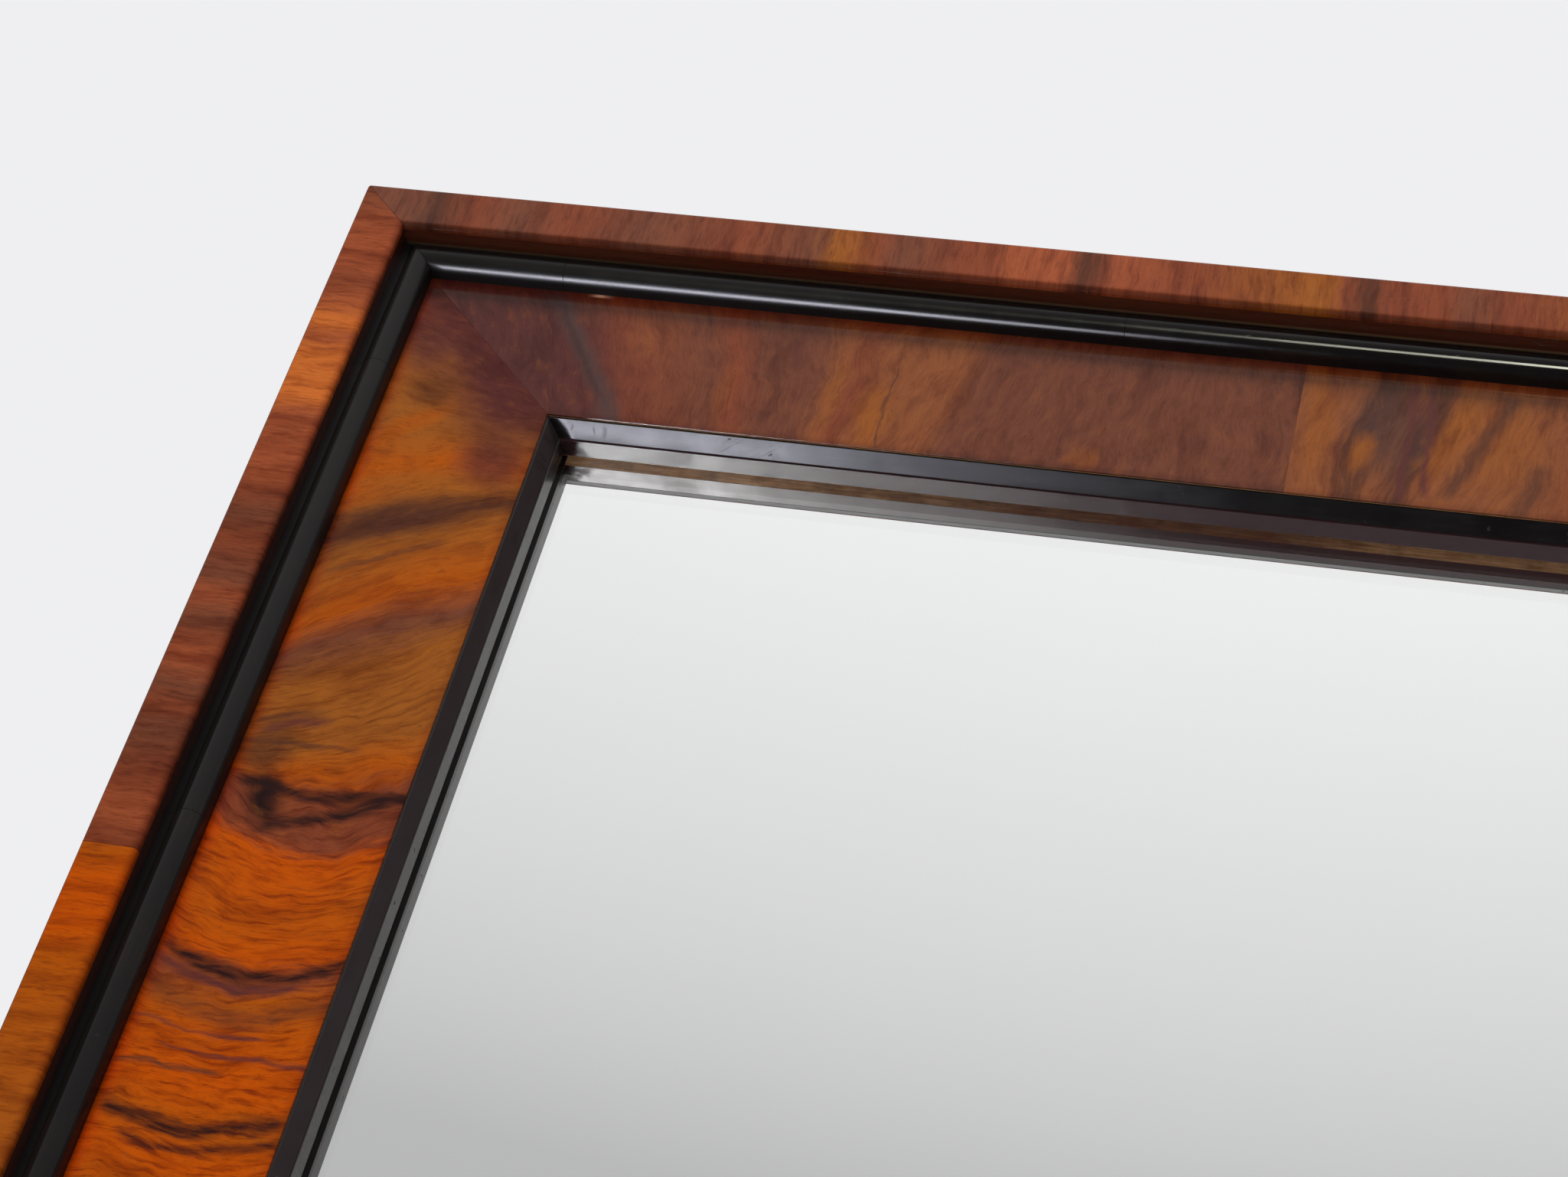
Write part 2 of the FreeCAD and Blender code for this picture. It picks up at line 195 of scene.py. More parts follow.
class MirrorSizes(bpy.types.PropertyGroup):
    fillet_width: length("Fillet width", "From the rim wall to the side of the half round", 2.5 * MM)
    fillet_depth: length("Fillet depth", "Depth of that step behind the rim's face", 9 * MM)
    bead_first_joint: length("First bead joint", "From a member's end to its bead's first joint", 85 * MM)
    bead_length: length("Bead length", "Length of the bead's other lengths", 211 * MM)
    leaf_length: length("Facing leaf", "Length of one leaf of crossbanding", 318 * MM)
    rim_outer_round: length("Outer round", "Rounding of the rim's outer edge", 1.2 * MM)
    rim_inner_round: length("Inner round", "Rounding of the rim's inner edge", 1.8 * MM)
    corner_round: length("Corner round", "Rounding of the frame's outer corners", 2.5 * MM)
    slip_nose: length("Slip nose", "Width of the slip's front edge", 0.6 * MM)
    slip_bevel: length("Slip bevel", "Depth of the bevel that falls towards the glass", 6.2 * MM)
    slip_arris_inset: length("Arris inset", "How far the bevel's edge stops from the sight wall", 0.3 * MM)
    slip_quirk: length("Quirk", "Depth of the groove under the bevel", 0.5 * MM)
    slip_quirk_width: length("Quirk width", "Width of that groove", 0.8 * MM)
    slip_clearance: length("Slip clearance", "Gap between the slip and the glass", 0.03 * MM)
    glass_arris: length("Glass arris", "Ground edge of the glass", 0.4 * MM)
    joint_ease: length("Joint easing", "How far the ends of glued lengths are eased", 0.12 * MM)
    waviness: length("Waviness", "How far hand-finished faces wander from flat", 0.09 * MM)
    arris: length("Arris", "Easing of the plain edges of boards and fittings", 0.35 * MM)
    station: length("Station", "Distance between the sections of a moulding", 9 * MM)


class MirrorColours(bpy.types.PropertyGroup):
    ink: colour("Ink", "Darkest streaks of the veneer", 34, 16, 15)
    slate: colour("Slate", "Dull grey brown shadows in the figure", 68, 50, 48)
    plum: colour("Plum", "Dark reddish heartwood", 84, 40, 36)
    umber: colour("Umber", "Dark brown bands", 80, 44, 28)
    brown: colour("Brown", "Plain middle brown", 110, 62, 42)
    russet: colour("Russet", "Reddish brown", 126, 62, 36)
    golden: colour("Golden", "Golden brown figure", 148, 84, 26)
    honey: colour("Honey", "Muted lighter figure of the rails", 136, 78, 42)
    amber: colour("Amber", "Bright amber figure", 170, 80, 5)
    orange: colour("Orange", "Brightest orange wood", 186, 78, 0)
    flame: colour("Flame", "Orange red patches of the crossbanding", 150, 76, 44)
    copper: colour("Copper", "Palest wood of the crossbanding", 196, 106, 44)
    ebony: colour("Ebony", "Black stain under polish", 20, 17, 17)
    walnut: colour("Walnut", "Plain walnut of the sides", 104, 62, 40)
    wall: colour("Rim wall", "Stained wood between facing and bead", 62, 24, 14)
    pine: colour("Pine", "Aged softwood of core and boards", 172, 130, 84)
    bare: colour("Bare wood", "Unfinished wood pressed against the glass", 226, 180, 132)
    brass: colour("Brass", "Aged brass", 176, 140, 76)
    steel: colour("Steel", "Dull steel", 132, 130, 126)
    felt: colour("Felt", "Pressed brown felt pads", 111, 94, 80)
    chip: colour("Chip", "Bare spot beside the bead", 176, 116, 98)
    backing: colour("Backing paint", "Paint behind the silvering", 96, 84, 78)


class MirrorStage(bpy.types.PropertyGroup):
    floor_drop: length("Floor drop", "Height of the hanging line above the floor", 1.73)
    background: colour("Background", "Tone of what is around the mirror", 239, 239, 241)
    surround: FloatProperty(name="Surround", description="Strength of the light from all around",
                            default=0.42, min=0)
    key_power: watts("Key power", "Power of the large lamp above", 560)
    back_power: watts("Back power", "Power of the lamp behind the frame", 60)
    low_power: watts("Low power", "Power of the panels below that polish mirrors", 55)
    side_power: watts("Side power", "Power of the narrow panels low at the left", 6)
    front_power: watts("Front power", "Power of the panels in front", 20)


# Outlines and swept mouldings

def corner_points(before, corner, after, radius, steps=4, hold=0.04 * MM):
    """The arc that rounds a corner of an outline, with a point beside each end that keeps the flats flat."""
    to_before = (before - corner).normalized()
    to_after = (after - corner).normalized()
    half = to_before.angle(to_after) / 2
    tangent = radius / math.tan(half)
    centre = corner + (to_before + to_after).normalized() * (radius / math.sin(half))
    start = corner + to_before * tangent - centre
    stop = corner + to_after * tangent - centre
    sweep = start.angle_signed(stop)
    points = [corner + to_before * (tangent + hold)]
    for step in range(steps + 1):
        turn = -sweep * step / steps
        points.append(centre + Vector((start.x * math.cos(turn) - start.y * math.sin(turn),
                                       start.x * math.sin(turn) + start.y * math.cos(turn))))
    points.append(corner + to_after * (tangent + hold))
    return points


def rounded_outline(corners):
    """A closed outline from (across, depth, rounding) corners."""
    places = [Vector(corner[:2]) for corner in corners]
    outline = []
    for index, corner in enumerate(corners):
        place = places[index]
        if corner[2] > 0:
            after = places[(index + 1) % len(places)]
            outline += corner_points(places[index - 1], place, after, corner[2])
        else:
            outline.append(place)
    return outline


def divided(outline, longest):
    """An outline with points added so that no stretch is longer than a limit."""
    result = []
    for index, point in enumerate(outline):
        after = outline[(index + 1) % len(outline)]
        pieces = max(1, math.ceil((after - point).length / longest))
        result += [point.lerp(after, piece / pieces) for piece in range(pieces)]
    return result


def outward_normals(outline):
    """The outline's directions away from the wood, one for each point."""
    area = sum(a.x * b.y - b.x * a.y for a, b in zip(outline, outline[1:] + outline[:1]))
    turn = 1 if area > 0 else -1
    normals = []
    for index, point in enumerate(outline):
        before = (point - outline[index - 1]).normalized()
        after = (outline[(index + 1) % len(outline)] - point).normalized()
        run = before + after
        if run.length < 1e-6:
            run = after
        normals.append(Vector((run.y, -run.x)).normalized() * turn)
    return normals


def wander(side, along, across):
    """How a hand-finished face falls away from flat, from 0 to 1."""
    seed = SIDES.index(side) + 1
    long_wave = math.sin(along / 0.031 + seed * 2.1 + across / 0.05)
    short_wave = math.sin(along / 0.0135 + seed * 4.7 - across / 0.021)
    return 0.5 + 0.34 * long_wave + 0.16 * short_wave


def eased_corner(along_from_end, across, radius):
    """The least distance from the outer edge that the rounded corner leaves."""
    if radius <= 0 or along_from_end >= radius:
        return across
    reach = radius - along_from_end
    return max(across, radius - math.sqrt(max(0, radius * radius - reach * reach)))


class Moulding:
    """Glued lengths of one section round the frame, gathered into a mesh for each member."""

    def __init__(self, name, outline, sizes, waviness=0.0, corner=0.0):
        self.name = name
        self.outline = outline
        self.normals = outward_normals(outline)
        self.ease = sizes.joint_ease
        self.station = sizes.station
        self.waviness = waviness
        self.corner = corner

    def stations(self, start, stop, mitred):
        """Places along one length, close together at eased ends and rounded corners."""
        inner = max(1, round((stop - start) / self.station))
        places = [start + (stop - start) * step / inner for step in range(inner + 1)]
        near = [self.ease]
        if self.corner:
            near += [self.corner * share for share in (0.3, 0.45, 0.65, 1)]
        places += [start + gap for gap in near if mitred[0] or gap == self.ease]
        places += [stop - gap for gap in near if mitred[1] or gap == self.ease]
        return sorted(set(places))

    def build(self, side, joints, lay):
        """One member's lengths, parted at the joints.

        lay gives the figure's place from a place along the member and the middle of its leaf.
        """
        reach = MEMBERS[side][3]
        mesh = bmesh.new()
        lay_layer = mesh.verts.layers.float_vector.new("lay")
        leaf_layer = mesh.verts.layers.float.new("leaf")
        ends = [0] + [joint for joint in joints if 0 < joint < reach] + [reach]
        for leaf, (start, stop) in enumerate(zip(ends, ends[1:])):
            mitred = (start == 0, stop == reach)
            rings = []
            for place in self.stations(start, stop, mitred):
                share = (place - start) / (stop - start)
                at_end = place in (start, stop)
                ring = []
                for point, normal in zip(self.outline, self.normals):
                    across, depth = point
                    if at_end:
                        across -= normal.x * self.ease
                        depth -= normal.y * self.ease
                    low = start + (across if mitred[0] else 0)
                    high = stop - (across if mitred[1] else 0)
                    along = self.along(place, start, stop, low, high, share)
                    depth += self.waviness * wander(side, along, across) * max(0, -normal.y)
                    if self.corner:
                        nearest = min(along, reach - along)
                        across = eased_corner(nearest, across, self.corner)
                        least = self.corner * (1 - math.sqrt(0.5))
                        along = min(max(along, least), reach - least)
                    vertex = mesh.verts.new(member_place(side, along, across, depth))
                    vertex[lay_layer] = Vector((lay(along, (start + stop) / 2), across, depth))
                    vertex[leaf_layer] = leaf + SIDES.index(side) * SIDE_SEEDS
                    ring.append(vertex)
                rings.append(ring)
            for ring, after in zip(rings, rings[1:]):
                band(mesh, ring, after)
            mesh.faces.new(rings[0])
            mesh.faces.new(rings[-1])
        bmesh.ops.recalc_face_normals(mesh, faces=mesh.faces)
        return finished(self.name + "_" + side, mesh)

    def along(self, place, start, stop, low, high, share):
        """Where a point of a section lies, so that sections near an end keep the end's slant."""
        if place - start <= self.corner + self.ease:
            return low + (place - start)
        if stop - place <= self.corner + self.ease:
            return high - (stop - place)
        return low + (high - low) * share

    def fit(self, node, slot, rails, stiles, joints=(), gaps=(), matched=False):
        """Builds the four members' lengths and puts each in its node's place.

        gaps are the joints at which the figure jumps. When matched, each member is joined at its middle and
        the stiles' figure mirrors there.
        """
        for side in SIDES:
            mirrored = matched and side in STILES
            lay = figure_place(side, mirrored, () if mirrored else gaps)
            piece = self.build(side, [MEMBERS[side][3] / 2] if matched else joints, lay)
            dress(piece, node + side, slot, rails if side in RAILS else stiles)


def band(mesh, ring, after):
    """The faces between two rings of points."""
    return [mesh.faces.new((first, second, fourth, third)) for first, second, third, fourth
            in zip(ring, ring[1:] + ring[:1], after, after[1:] + after[:1])]


def member_place(side, along, across, depth):
    """A place on a member, in the frame's axes."""
    corner, run, inward, _ = MEMBERS[side]
    return corner + run * along + inward * across + Vector((0, depth, 0))


def finished(name, mesh, smooth_angle=32):
    """An object from gathered geometry, shaded smooth up to an angle."""
    data = bpy.data.meshes.new(name)
    mesh.to_mesh(data)
    mesh.free()
    data.shade_smooth()
    data.set_sharp_from_angle(angle=math.radians(smooth_angle))
    return added(name, data)


def added(name, data):
    """A new object in the scene."""
    made = bpy.data.objects.new(name, data)
    bpy.context.scene.collection.objects.link(made)
    return made


def dress(piece, node, slot, material):
    """The piece takes a node's place on the frame, with its finish."""
    piece.data.materials.append(material)
    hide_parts(node)
    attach(piece, BODY)


def stepped(first, step, reach):
    """Joint places at a steady step."""
    places = []
    place = first
    while place < reach:
        places.append(place)
        place += step
    return places


def parted(place, joints):
    """A figure's place with a gap at each joint before it, so that the leaves keep their own figure."""
    return place + LEAF_GAP * sum(place > joint for joint in joints)


def figure_place(side, matched, joints):
    """How a place reads its figure: stiles' panels are matched at mid height, and the bottom is turned."""
    reach = MEMBERS[side][3]

    def own(along):
        if matched:
            return min(along, reach - along)
        return reach - along if side == "bottom" else along

    return lambda along, middle: own(along) + parted(own(middle), joints) - own(middle)


# Shader trees

def arithmetic(operation, turned=False):
    """A method that joins two values by a math node, the other way round if turned."""
    def joined(self, other=0.0):
        return self.tree.math(operation, *((other, self) if turned else (self, other)))

    return joined


class Wire:
    """A value, place or colour in a shader tree. What is done to it adds nodes to the same tree."""

    __add__ = arithmetic("ADD")
    __sub__ = arithmetic("SUBTRACT")
    __rsub__ = arithmetic("SUBTRACT", turned=True)
    __mul__ = arithmetic("MULTIPLY")
    __truediv__ = arithmetic("DIVIDE")
    __rtruediv__ = arithmetic("DIVIDE", turned=True)
    __abs__ = arithmetic("ABSOLUTE")
    at_least = arithmetic("MAXIMUM")
    at_most = arithmetic("MINIMUM")

    def __init__(self, tree, socket):
        self.tree = tree
        self.socket = socket

    def parts(self):
        """The three numbers of a place."""
        apart = self.tree.node("ShaderNodeSeparateXYZ", {0: self})
        return [Wire(self.tree, socket) for socket in apart.outputs]

    def spread(self, low, high, to_low=0.0, to_high=1.0, smooth=False):
        """A value's share between two limits, kept within them."""
        limits = {"Value": self, "From Min": low, "From Max": high, "To Min": to_low, "To Max": to_high}
        return self.tree.wire("ShaderNodeMapRange", limits,
                              interpolation_type="SMOOTHSTEP" if smooth else "LINEAR")

    def noise(self, scale=1.0, detail=3.0, roughness=0.5, distortion=0.0, output="Fac"):
        return self.tree.wire("ShaderNodeTexNoise", {
            "Vector": self, "Scale": scale, "Detail": detail, "Roughness": roughness,
            "Distortion": distortion}, output)

    def ramp(self, stops, smooth=False):
        """A colour that follows a value through (place, colour) stops."""
        made = self.tree.node("ShaderNodeValToRGB", {"Fac": self})
        elements = made.color_ramp.elements
        made.color_ramp.interpolation = "EASE" if smooth else "LINEAR"
        while len(elements) < len(stops):
            elements.new(1)
        for element, (place, tone) in zip(elements, stops):
            element.position = place
            element.color = (*tone, 1)
        return Wire(self.tree, made.outputs[0])

    def curve(self, points, low, high):
        """A number that follows a value through (place, number) points, between two limits."""
        stops = [(place, ((number - low) / (high - low),) * 3) for place, number in points]
        return self.ramp(stops, smooth=True).spread(0, 1, low, high)


class Tree:
    """A shader tree being written."""

    def __init__(self, tree):
        self.tree = tree
        tree.nodes.clear()

    def node(self, kind, inputs=None, **settings):
        made = self.tree.nodes.new(kind)
        for name, value in settings.items():
            setattr(made, name, value)
        for name, value in (inputs or {}).items():
            self.put(made.inputs[name], value)
        return made

    def wire(self, kind, inputs=None, output=0, **settings):
        """A new node's output, the first one unless another is named."""
        return Wire(self, self.node(kind, inputs, **settings).outputs[output])

    def put(self, socket, value):
        """Sets or links an input. A word stands for a tone of the palette."""
        if isinstance(value, Wire):
            self.tree.links.new(value.socket, socket)
        elif socket.type == "RGBA":
            socket.default_value = (*palette(value), 1)
        else:
            socket.default_value = value

    def math(self, operation, *values):
        return self.wire("ShaderNodeMath", dict(enumerate(values)), operation=operation)

    def vector(self, x, y, z):
        return self.wire("ShaderNodeCombineXYZ", {0: x, 1: y, 2: z})

    def mix(self, factor, first, second, blend="MIX"):
        return self.wire("ShaderNodeMix", {0: factor, 6: first, 7: second}, 2,
                         data_type="RGBA", blend_type=blend, clamp_factor=True)


def palette(tone):
    """A tone's colour, given by its name in the palette or as it is."""
    return tuple(getattr(bpy.context.scene.mirror_colours, tone)) if isinstance(tone, str) else tone


# Shader groups that the materials share

def shared(*outputs):
    """Makes a shader group of the function that draws it. Calling it places the group in a tree.

    The group's inputs are the function's own: a place, then values with their defaults.
    """
    def wrap(draw):
        name = draw.__name__.capitalize()

        def placed(vector, *values):
            group = bpy.data.node_groups.get(name) or drawn_group(name, draw, outputs)
            node = vector.tree.node("ShaderNodeGroup", node_tree=group)
            for socket, value in zip(node.inputs, (vector, *values)):
                vector.tree.put(socket, value)
            wires = [Wire(vector.tree, socket) for socket in node.outputs]
            return wires if len(wires) > 1 else wires[0]

        return placed

    return wrap


def drawn_group(name, draw, outputs):
    """A new shader group, drawn between its named inputs and outputs."""
    group = bpy.data.node_groups.new(name, "ShaderNodeTree")

    def add_socket(label, way):
        kind = "NodeSocketVector" if label == "Vector" else "NodeSocketFloat"
        return group.interface.new_socket(label, in_out=way, socket_type=kind)

    for entry in inspect.signature(draw).parameters.values():
        socket = add_socket(entry.name.replace("_", " ").capitalize(), "INPUT")
        if entry.name != "vector":
            socket.default_value = entry.default
    for label in outputs:
        add_socket(label, "OUTPUT")
    tree = Tree(group)
    given = [Wire(tree, socket) for socket in tree.node("NodeGroupInput").outputs if socket.name]
    results = draw(*given)
    sink = tree.node("NodeGroupOutput").inputs
    for socket, result in zip(sink, results if len(outputs) > 1 else [results]):
        tree.put(socket, result)
    return group


@shared("Fibres", "Pores")
def grain(vector, lines_per_metre=900.0, fibre_length=0.03, seed=0.0):
    """Fibres and pores that run across a member."""
    along, across, depth = vector.parts()
    lines = along * lines_per_metre
    runs = across / fibre_length
    fibres = vector.tree.vector(lines, runs, seed).noise(1, 5, 0.62)
    pores = vector.tree.vector(lines * 1.7, runs * 4, seed + 7.3).noise(1, 2, 0.5)
    return fibres.spread(0.28, 0.72), pores.spread(0.62, 0.72)


@shared("Vector")
def swirl(vector, reach=0.01, size=0.04, seed=0.0):
    """A place pushed about by slow noise, as growth pushes the figure of wood."""
    tree = vector.tree
    offset = tree.vector(seed, seed * 0.37, 0)
    moved = tree.wire("ShaderNodeVectorMath", {0: vector, 1: offset}, operation="ADD")
    noise = moved.noise(1 / size, 3, 0.5, output="Color")
    centred = tree.wire("ShaderNodeVectorMath", {0: noise, 1: (0.5, 0.5, 0.5)}, operation="SUBTRACT")
    push = tree.wire("ShaderNodeVectorMath", {0: centred, "Scale": reach}, operation="SCALE")
    return tree.wire("ShaderNodeVectorMath", {0: vector, 1: push}, operation="ADD")


@shared("Vector")
def fray(vector, reach=0.004, seed=0.0):
    """A place pushed along the member by fine fibres, so that tones run out in strokes along the grain."""
    along, across, depth = vector.parts()
    push = vector.tree.vector(along * 520, across * 48, seed).noise(1, 3, 0.55) - 0.5
    return vector.tree.vector(push * reach + along, across, depth)


def arch(offset):
    """How a bow rises over the panel: 1 at its middle and 0 at its edges."""
    share = offset / PANEL_HALF
    return 1 - share * share


@shared("Mask")
def streak(vector, at=0.1, slope=0.0, bow=0.0, half_width=0.002, start=0.0, stop=0.1, fade=0.008):
    """One streak across a member: where it is, how it slants and bows, and how wide it is."""
    along, across, depth = vector.parts()
    offset = across - STREAK_MIDDLE
    line = at + (offset * slope + arch(offset) * bow)
    body = (abs(along - line) / half_width).spread(1, 0, smooth=True)
    begun = ((across - start) / fade).spread(0, 1, smooth=True)
    left = ((stop - across) / fade).spread(0, 1, smooth=True)
    return body * (begun * left)


@shared("Mask")
def patch(vector, at=0.1, middle=0.064, half_length=0.02, half_width=0.02, slope=0.0):
    """A soft oval patch of another tone, which may slant."""
    along, across, depth = vector.parts()
    aside = across - middle
    first = (along - (aside * slope + at)) / half_length
    second = aside / half_width
    return vector.tree.math("SQRT", first * first + second * second).spread(1, 0.25, smooth=True)


@shared("Roughness", "Scratches")
def handling(vector, smooth=0.12, hazy=0.3, cloud_size=0.05):
    """Haze, smears and fine scratches that years of cleaning leave on a polish."""
    clouds = vector.noise(1 / cloud_size, 4, 0.6)
    mask = (clouds + vector.noise(900, 2, 0.5) * 0.12).spread(0.4, 0.8)
    x, y, z = vector.parts()
    lines = vector.tree.vector((x + z * 0.35) * 40, (z - x * 0.35) * 2600, y).noise(1, 1, 0.5)
    return mask * (hazy - smooth) + smooth, lines.spread(0.68, 0.74)


@shared("Mask")
def dust(vector, amount=0.3):
    """Dust that settles on what faces up, in patches."""
    up = vector.tree.wire("ShaderNodeNewGeometry", output="Normal").parts()[2].spread(0.45, 0.95)
    return up * vector.noise(160, 4, 0.7).spread(0.35, 0.7) * amount


@shared("Rings", "Fibres", "Knots")
def board(vector, ring_width=0.006, seed=0.0):
    """Growth rings, fibres and knots of a flat-sawn softwood board that runs along the vector's x."""
    tree = vector.tree
    along, across, depth = vector.parts()
    slow = tree.vector(along * 2.6, across * 9, seed).noise(1, 2, 0.5)
    phase = tree.math("FRACT", across / ring_width + slow * 9)
    rings = phase.spread(0.35, 0.93, smooth=True) * phase.spread(1, 0.93)
    fibres = tree.vector(along * 28, across * 2100, depth * 2100 + seed).noise(1, 4, 0.6)
    cells = tree.wire("ShaderNodeTexVoronoi", {"Vector": tree.vector(along * 3.1, across * 4.6, seed),
                                               "Scale": 1}, "Distance")
    return rings, fibres.spread(0.3, 0.7), cells.spread(0.085, 0.03, smooth=True)


# Materials

# Darker tones for grain and painted shade, the painted shadow's reddening by the bead, and settled dust
DEEPER = (0.42, 0.26, 0.26)
REDDER = (1, 0.62, 0.62)
DUST = linear(168, 160, 150)


class Finish(Tree):
    """A material being written: its Principled shader, and a tone that is built up in layers."""

    def __init__(self, name, tone=None):
        self.material = bpy.data.materials.new(name)
        self.material.use_nodes = True
        super().__init__(self.material.node_tree)
        self.shader = self.node("ShaderNodeBsdfPrincipled")
        self.node("ShaderNodeOutputMaterial", {"Surface": Wire(self, self.shader.outputs[0])})
        self.place = self.wire("ShaderNodeTexCoord", output="Object")
        self.tone = tone

    def lay(self):
        """The figure's coordinates and a seed for each leaf, as the mesh holds them."""
        lay = self.wire("ShaderNodeAttribute", output="Vector", attribute_name="lay")
        return lay, self.wire("ShaderNodeAttribute", output="Fac", attribute_name="leaf") * SEED_STEP

    def zones(self, place, reach, joints, stops):
        """Starts from the veneer's own colours along a member, from (millimetres, tone) stops."""
        whole = parted(reach, joints)
        stops = [(parted(at * MM, joints) / whole, palette(tone)) for at, tone in stops]
        self.tone = (place.parts()[0] / whole).ramp(stops)

    def cover(self, mask, tone, blend="MIX"):
        """Lays a tone over what is there."""
        self.tone = self.mix(mask, self.tone, tone, blend)

    def deepen(self, mask):
        """Makes the tone darker and redder, as where the grain turns down into the wood, and as painted
        shade.
        """
        self.cover(mask, DEEPER, "MULTIPLY")

    def line_mitre(self, lay):
        """Leaves a faint dark line where a veneer meets the next member's along the mitre."""
        along, across, depth = lay.parts()
        self.cover(abs(along - across).spread(0.25 * MM, 0.06 * MM, 0, 0.12), "ink")

    def gather_dust(self, amount):
        self.cover(dust(self.place, amount), DUST)

    def add_streak(self, lay, at, row, broken=1.0, fade=8 * MM):
        """Lays one streak over the tone: (half width, slope, bow, from, to, tone, strength)."""
        half, slope, bow, start, stop, tone, strength = row
        mask = streak(lay, at, slope, bow * MM, half * MM, start * MM, stop * MM, fade)
        self.cover(mask * strength * broken, tone)

    def add_patch(self, lay, at, row):
        """Lays one patch over the tone: (across, half length, half width, slope, tone, strength)."""
        across, half_length, half_width, slope, tone, strength = row
        mask = patch(lay, at, across * MM, half_length * MM, half_width * MM, slope)
        self.cover(mask * strength, tone)

    def done(self, height=None, distance=0.0, **inputs):
        """The material, with its tone, its bump and the shader's other inputs."""
        if height is not None:
            inputs["Normal"] = self.wire("ShaderNodeBump", {"Height": height, "Distance": distance})
        for name, value in {"Base Color": self.tone, **inputs}.items():
            self.put(self.shader.inputs[name.replace("_", " ")], value)
        return self.material


def dimmed(tone, share):
    """A tone with a share of its light."""
    return tuple(part * share for part in palette(tone))


def facing_veneer(name, stops, reach, joints, deep, ior):
    """Crossbanding: short grain across the rim, laid in leaves. deep is how much it is darkened."""
    wood = Finish(name)
    lay, seed = wood.lay()
    warped = swirl(lay, 0.007, 0.022, seed)
    wood.zones(fray(warped, 0.012, seed), reach, joints, stops)
    fine, pores = grain(lay, 1300, 0.02, seed)
    wood.deepen(grain(warped, 150, 0.05, seed)[0].spread(0.6, 0.05, 0, 0.7))
    wood.deepen(grain(warped, 520, 0.011, seed)[0].spread(0.5, 0.1, 0, 0.5))
    wood.deepen(fine.spread(0.5, 0, 0, 0.35))
    wood.cover(pores * 0.35, "ink")
    across = lay.parts()[1]
    # Darkened by deep all over, and further towards the rim's inner edge as painted shade on its rounding
    wood.deepen(across.spread(16.5 * MM, 19.3 * MM, deep, 0.45 + deep))
    wood.cover(across.spread(0.9 * MM, 0.3 * MM, 0, 0.75), "ink")
    wood.line_mitre(lay)
    rough, scratches = handling(wood.place, 0.2, 0.42, 0.03)
    wood.gather_dust(0.2)
    return wood.done(fine * 0.4 - pores - scratches, 0.03 * MM, Roughness=rough, IOR=ior)


def panel_veneer(name, stops, reach, joints, slopes, bows, figure, strokes, deep, ior):
    """Figured veneer: flowing bands across the member, patches, streaks and short strokes.

    strokes is how strong the short strokes are near the member's end and further along, and deep how
    much darker the whole is than its stops.
    """
    wood = Finish(name)
    patches, streaks, chips = figure
    lay, seed = wood.lay()
    along, across, depth = lay.parts()
    offset = across - PANEL_MIDDLE
    slope = (along / reach).curve([(at * MM / reach, number) for at, number in slopes], -1, 1)
    bow = (along / reach).curve([(at * MM / reach, number) for at, number in bows], -0.02, 0.02)
    flowing = wood.vector(along - slope * offset - bow * arch(offset), across, depth)
    slow = swirl(flowing, 0.02, 0.05, seed)
    quick = swirl(slow, 0.005, 0.017, seed)
    wood.zones(fray(quick, 0.012, seed), reach, joints, stops)
    brushed = fray(swirl(lay, 0.012, 0.03, 0.0), 0.004, 1.7)
    for at, *row in patches:
        wood.add_patch(brushed, parted(at * MM, joints), row)
    mottle = grain(quick, 210, 0.011, seed)[0]
    flames = grain(quick, 560, 0.015, seed)[0]
    fine, pores = grain(slow, 1600, 0.009, seed)
    wood.deepen(grain(quick, 90, 0.04, seed)[0].spread(0.55, 0, deep, 0.6 + deep))
    wood.deepen(mottle.spread(0.5, 0.05, 0, 0.4))
    wood.deepen(flames.spread(0.55, 0.1) * along.spread(*STROKES_GROW, *strokes))
    wood.deepen(fine.spread(0.5, 0, 0, 0.35))
    wood.cover(mottle.spread(0.6, 1, 0, 0.2), "golden")
    broken = flames.spread(0.75, 0.25, 0.7, 1)
    for at, *row in streaks:
        wood.add_streak(brushed, parted(at * MM, joints), row, broken)
    # Painted shadow and reflection of the bead: the panel reddens and darkens just beside it
    wood.cover(across.spread(39 * MM, 35 * MM, 0, 0.7), REDDER, "MULTIPLY")
    # Painted shade, with some grime, darkens the panel beside the bead and beside the slip
    edges = across.spread(37 * MM, 33.5 * MM).at_least(across.spread(92.5 * MM, 95.5 * MM))
    wood.deepen(edges * 0.45)
    for at, *row in chips:
        wood.add_streak(lay, at * MM, row, fade=0.5 * MM)
    wood.cover(pores * 0.35, "ink")
    wood.line_mitre(lay)
    rough, scratches = handling(wood.place, 0.08, 0.2, 0.06)
    return wood.done(fine * 0.25 - pores - scratches, 0.008 * MM, Roughness=rough, IOR=ior)


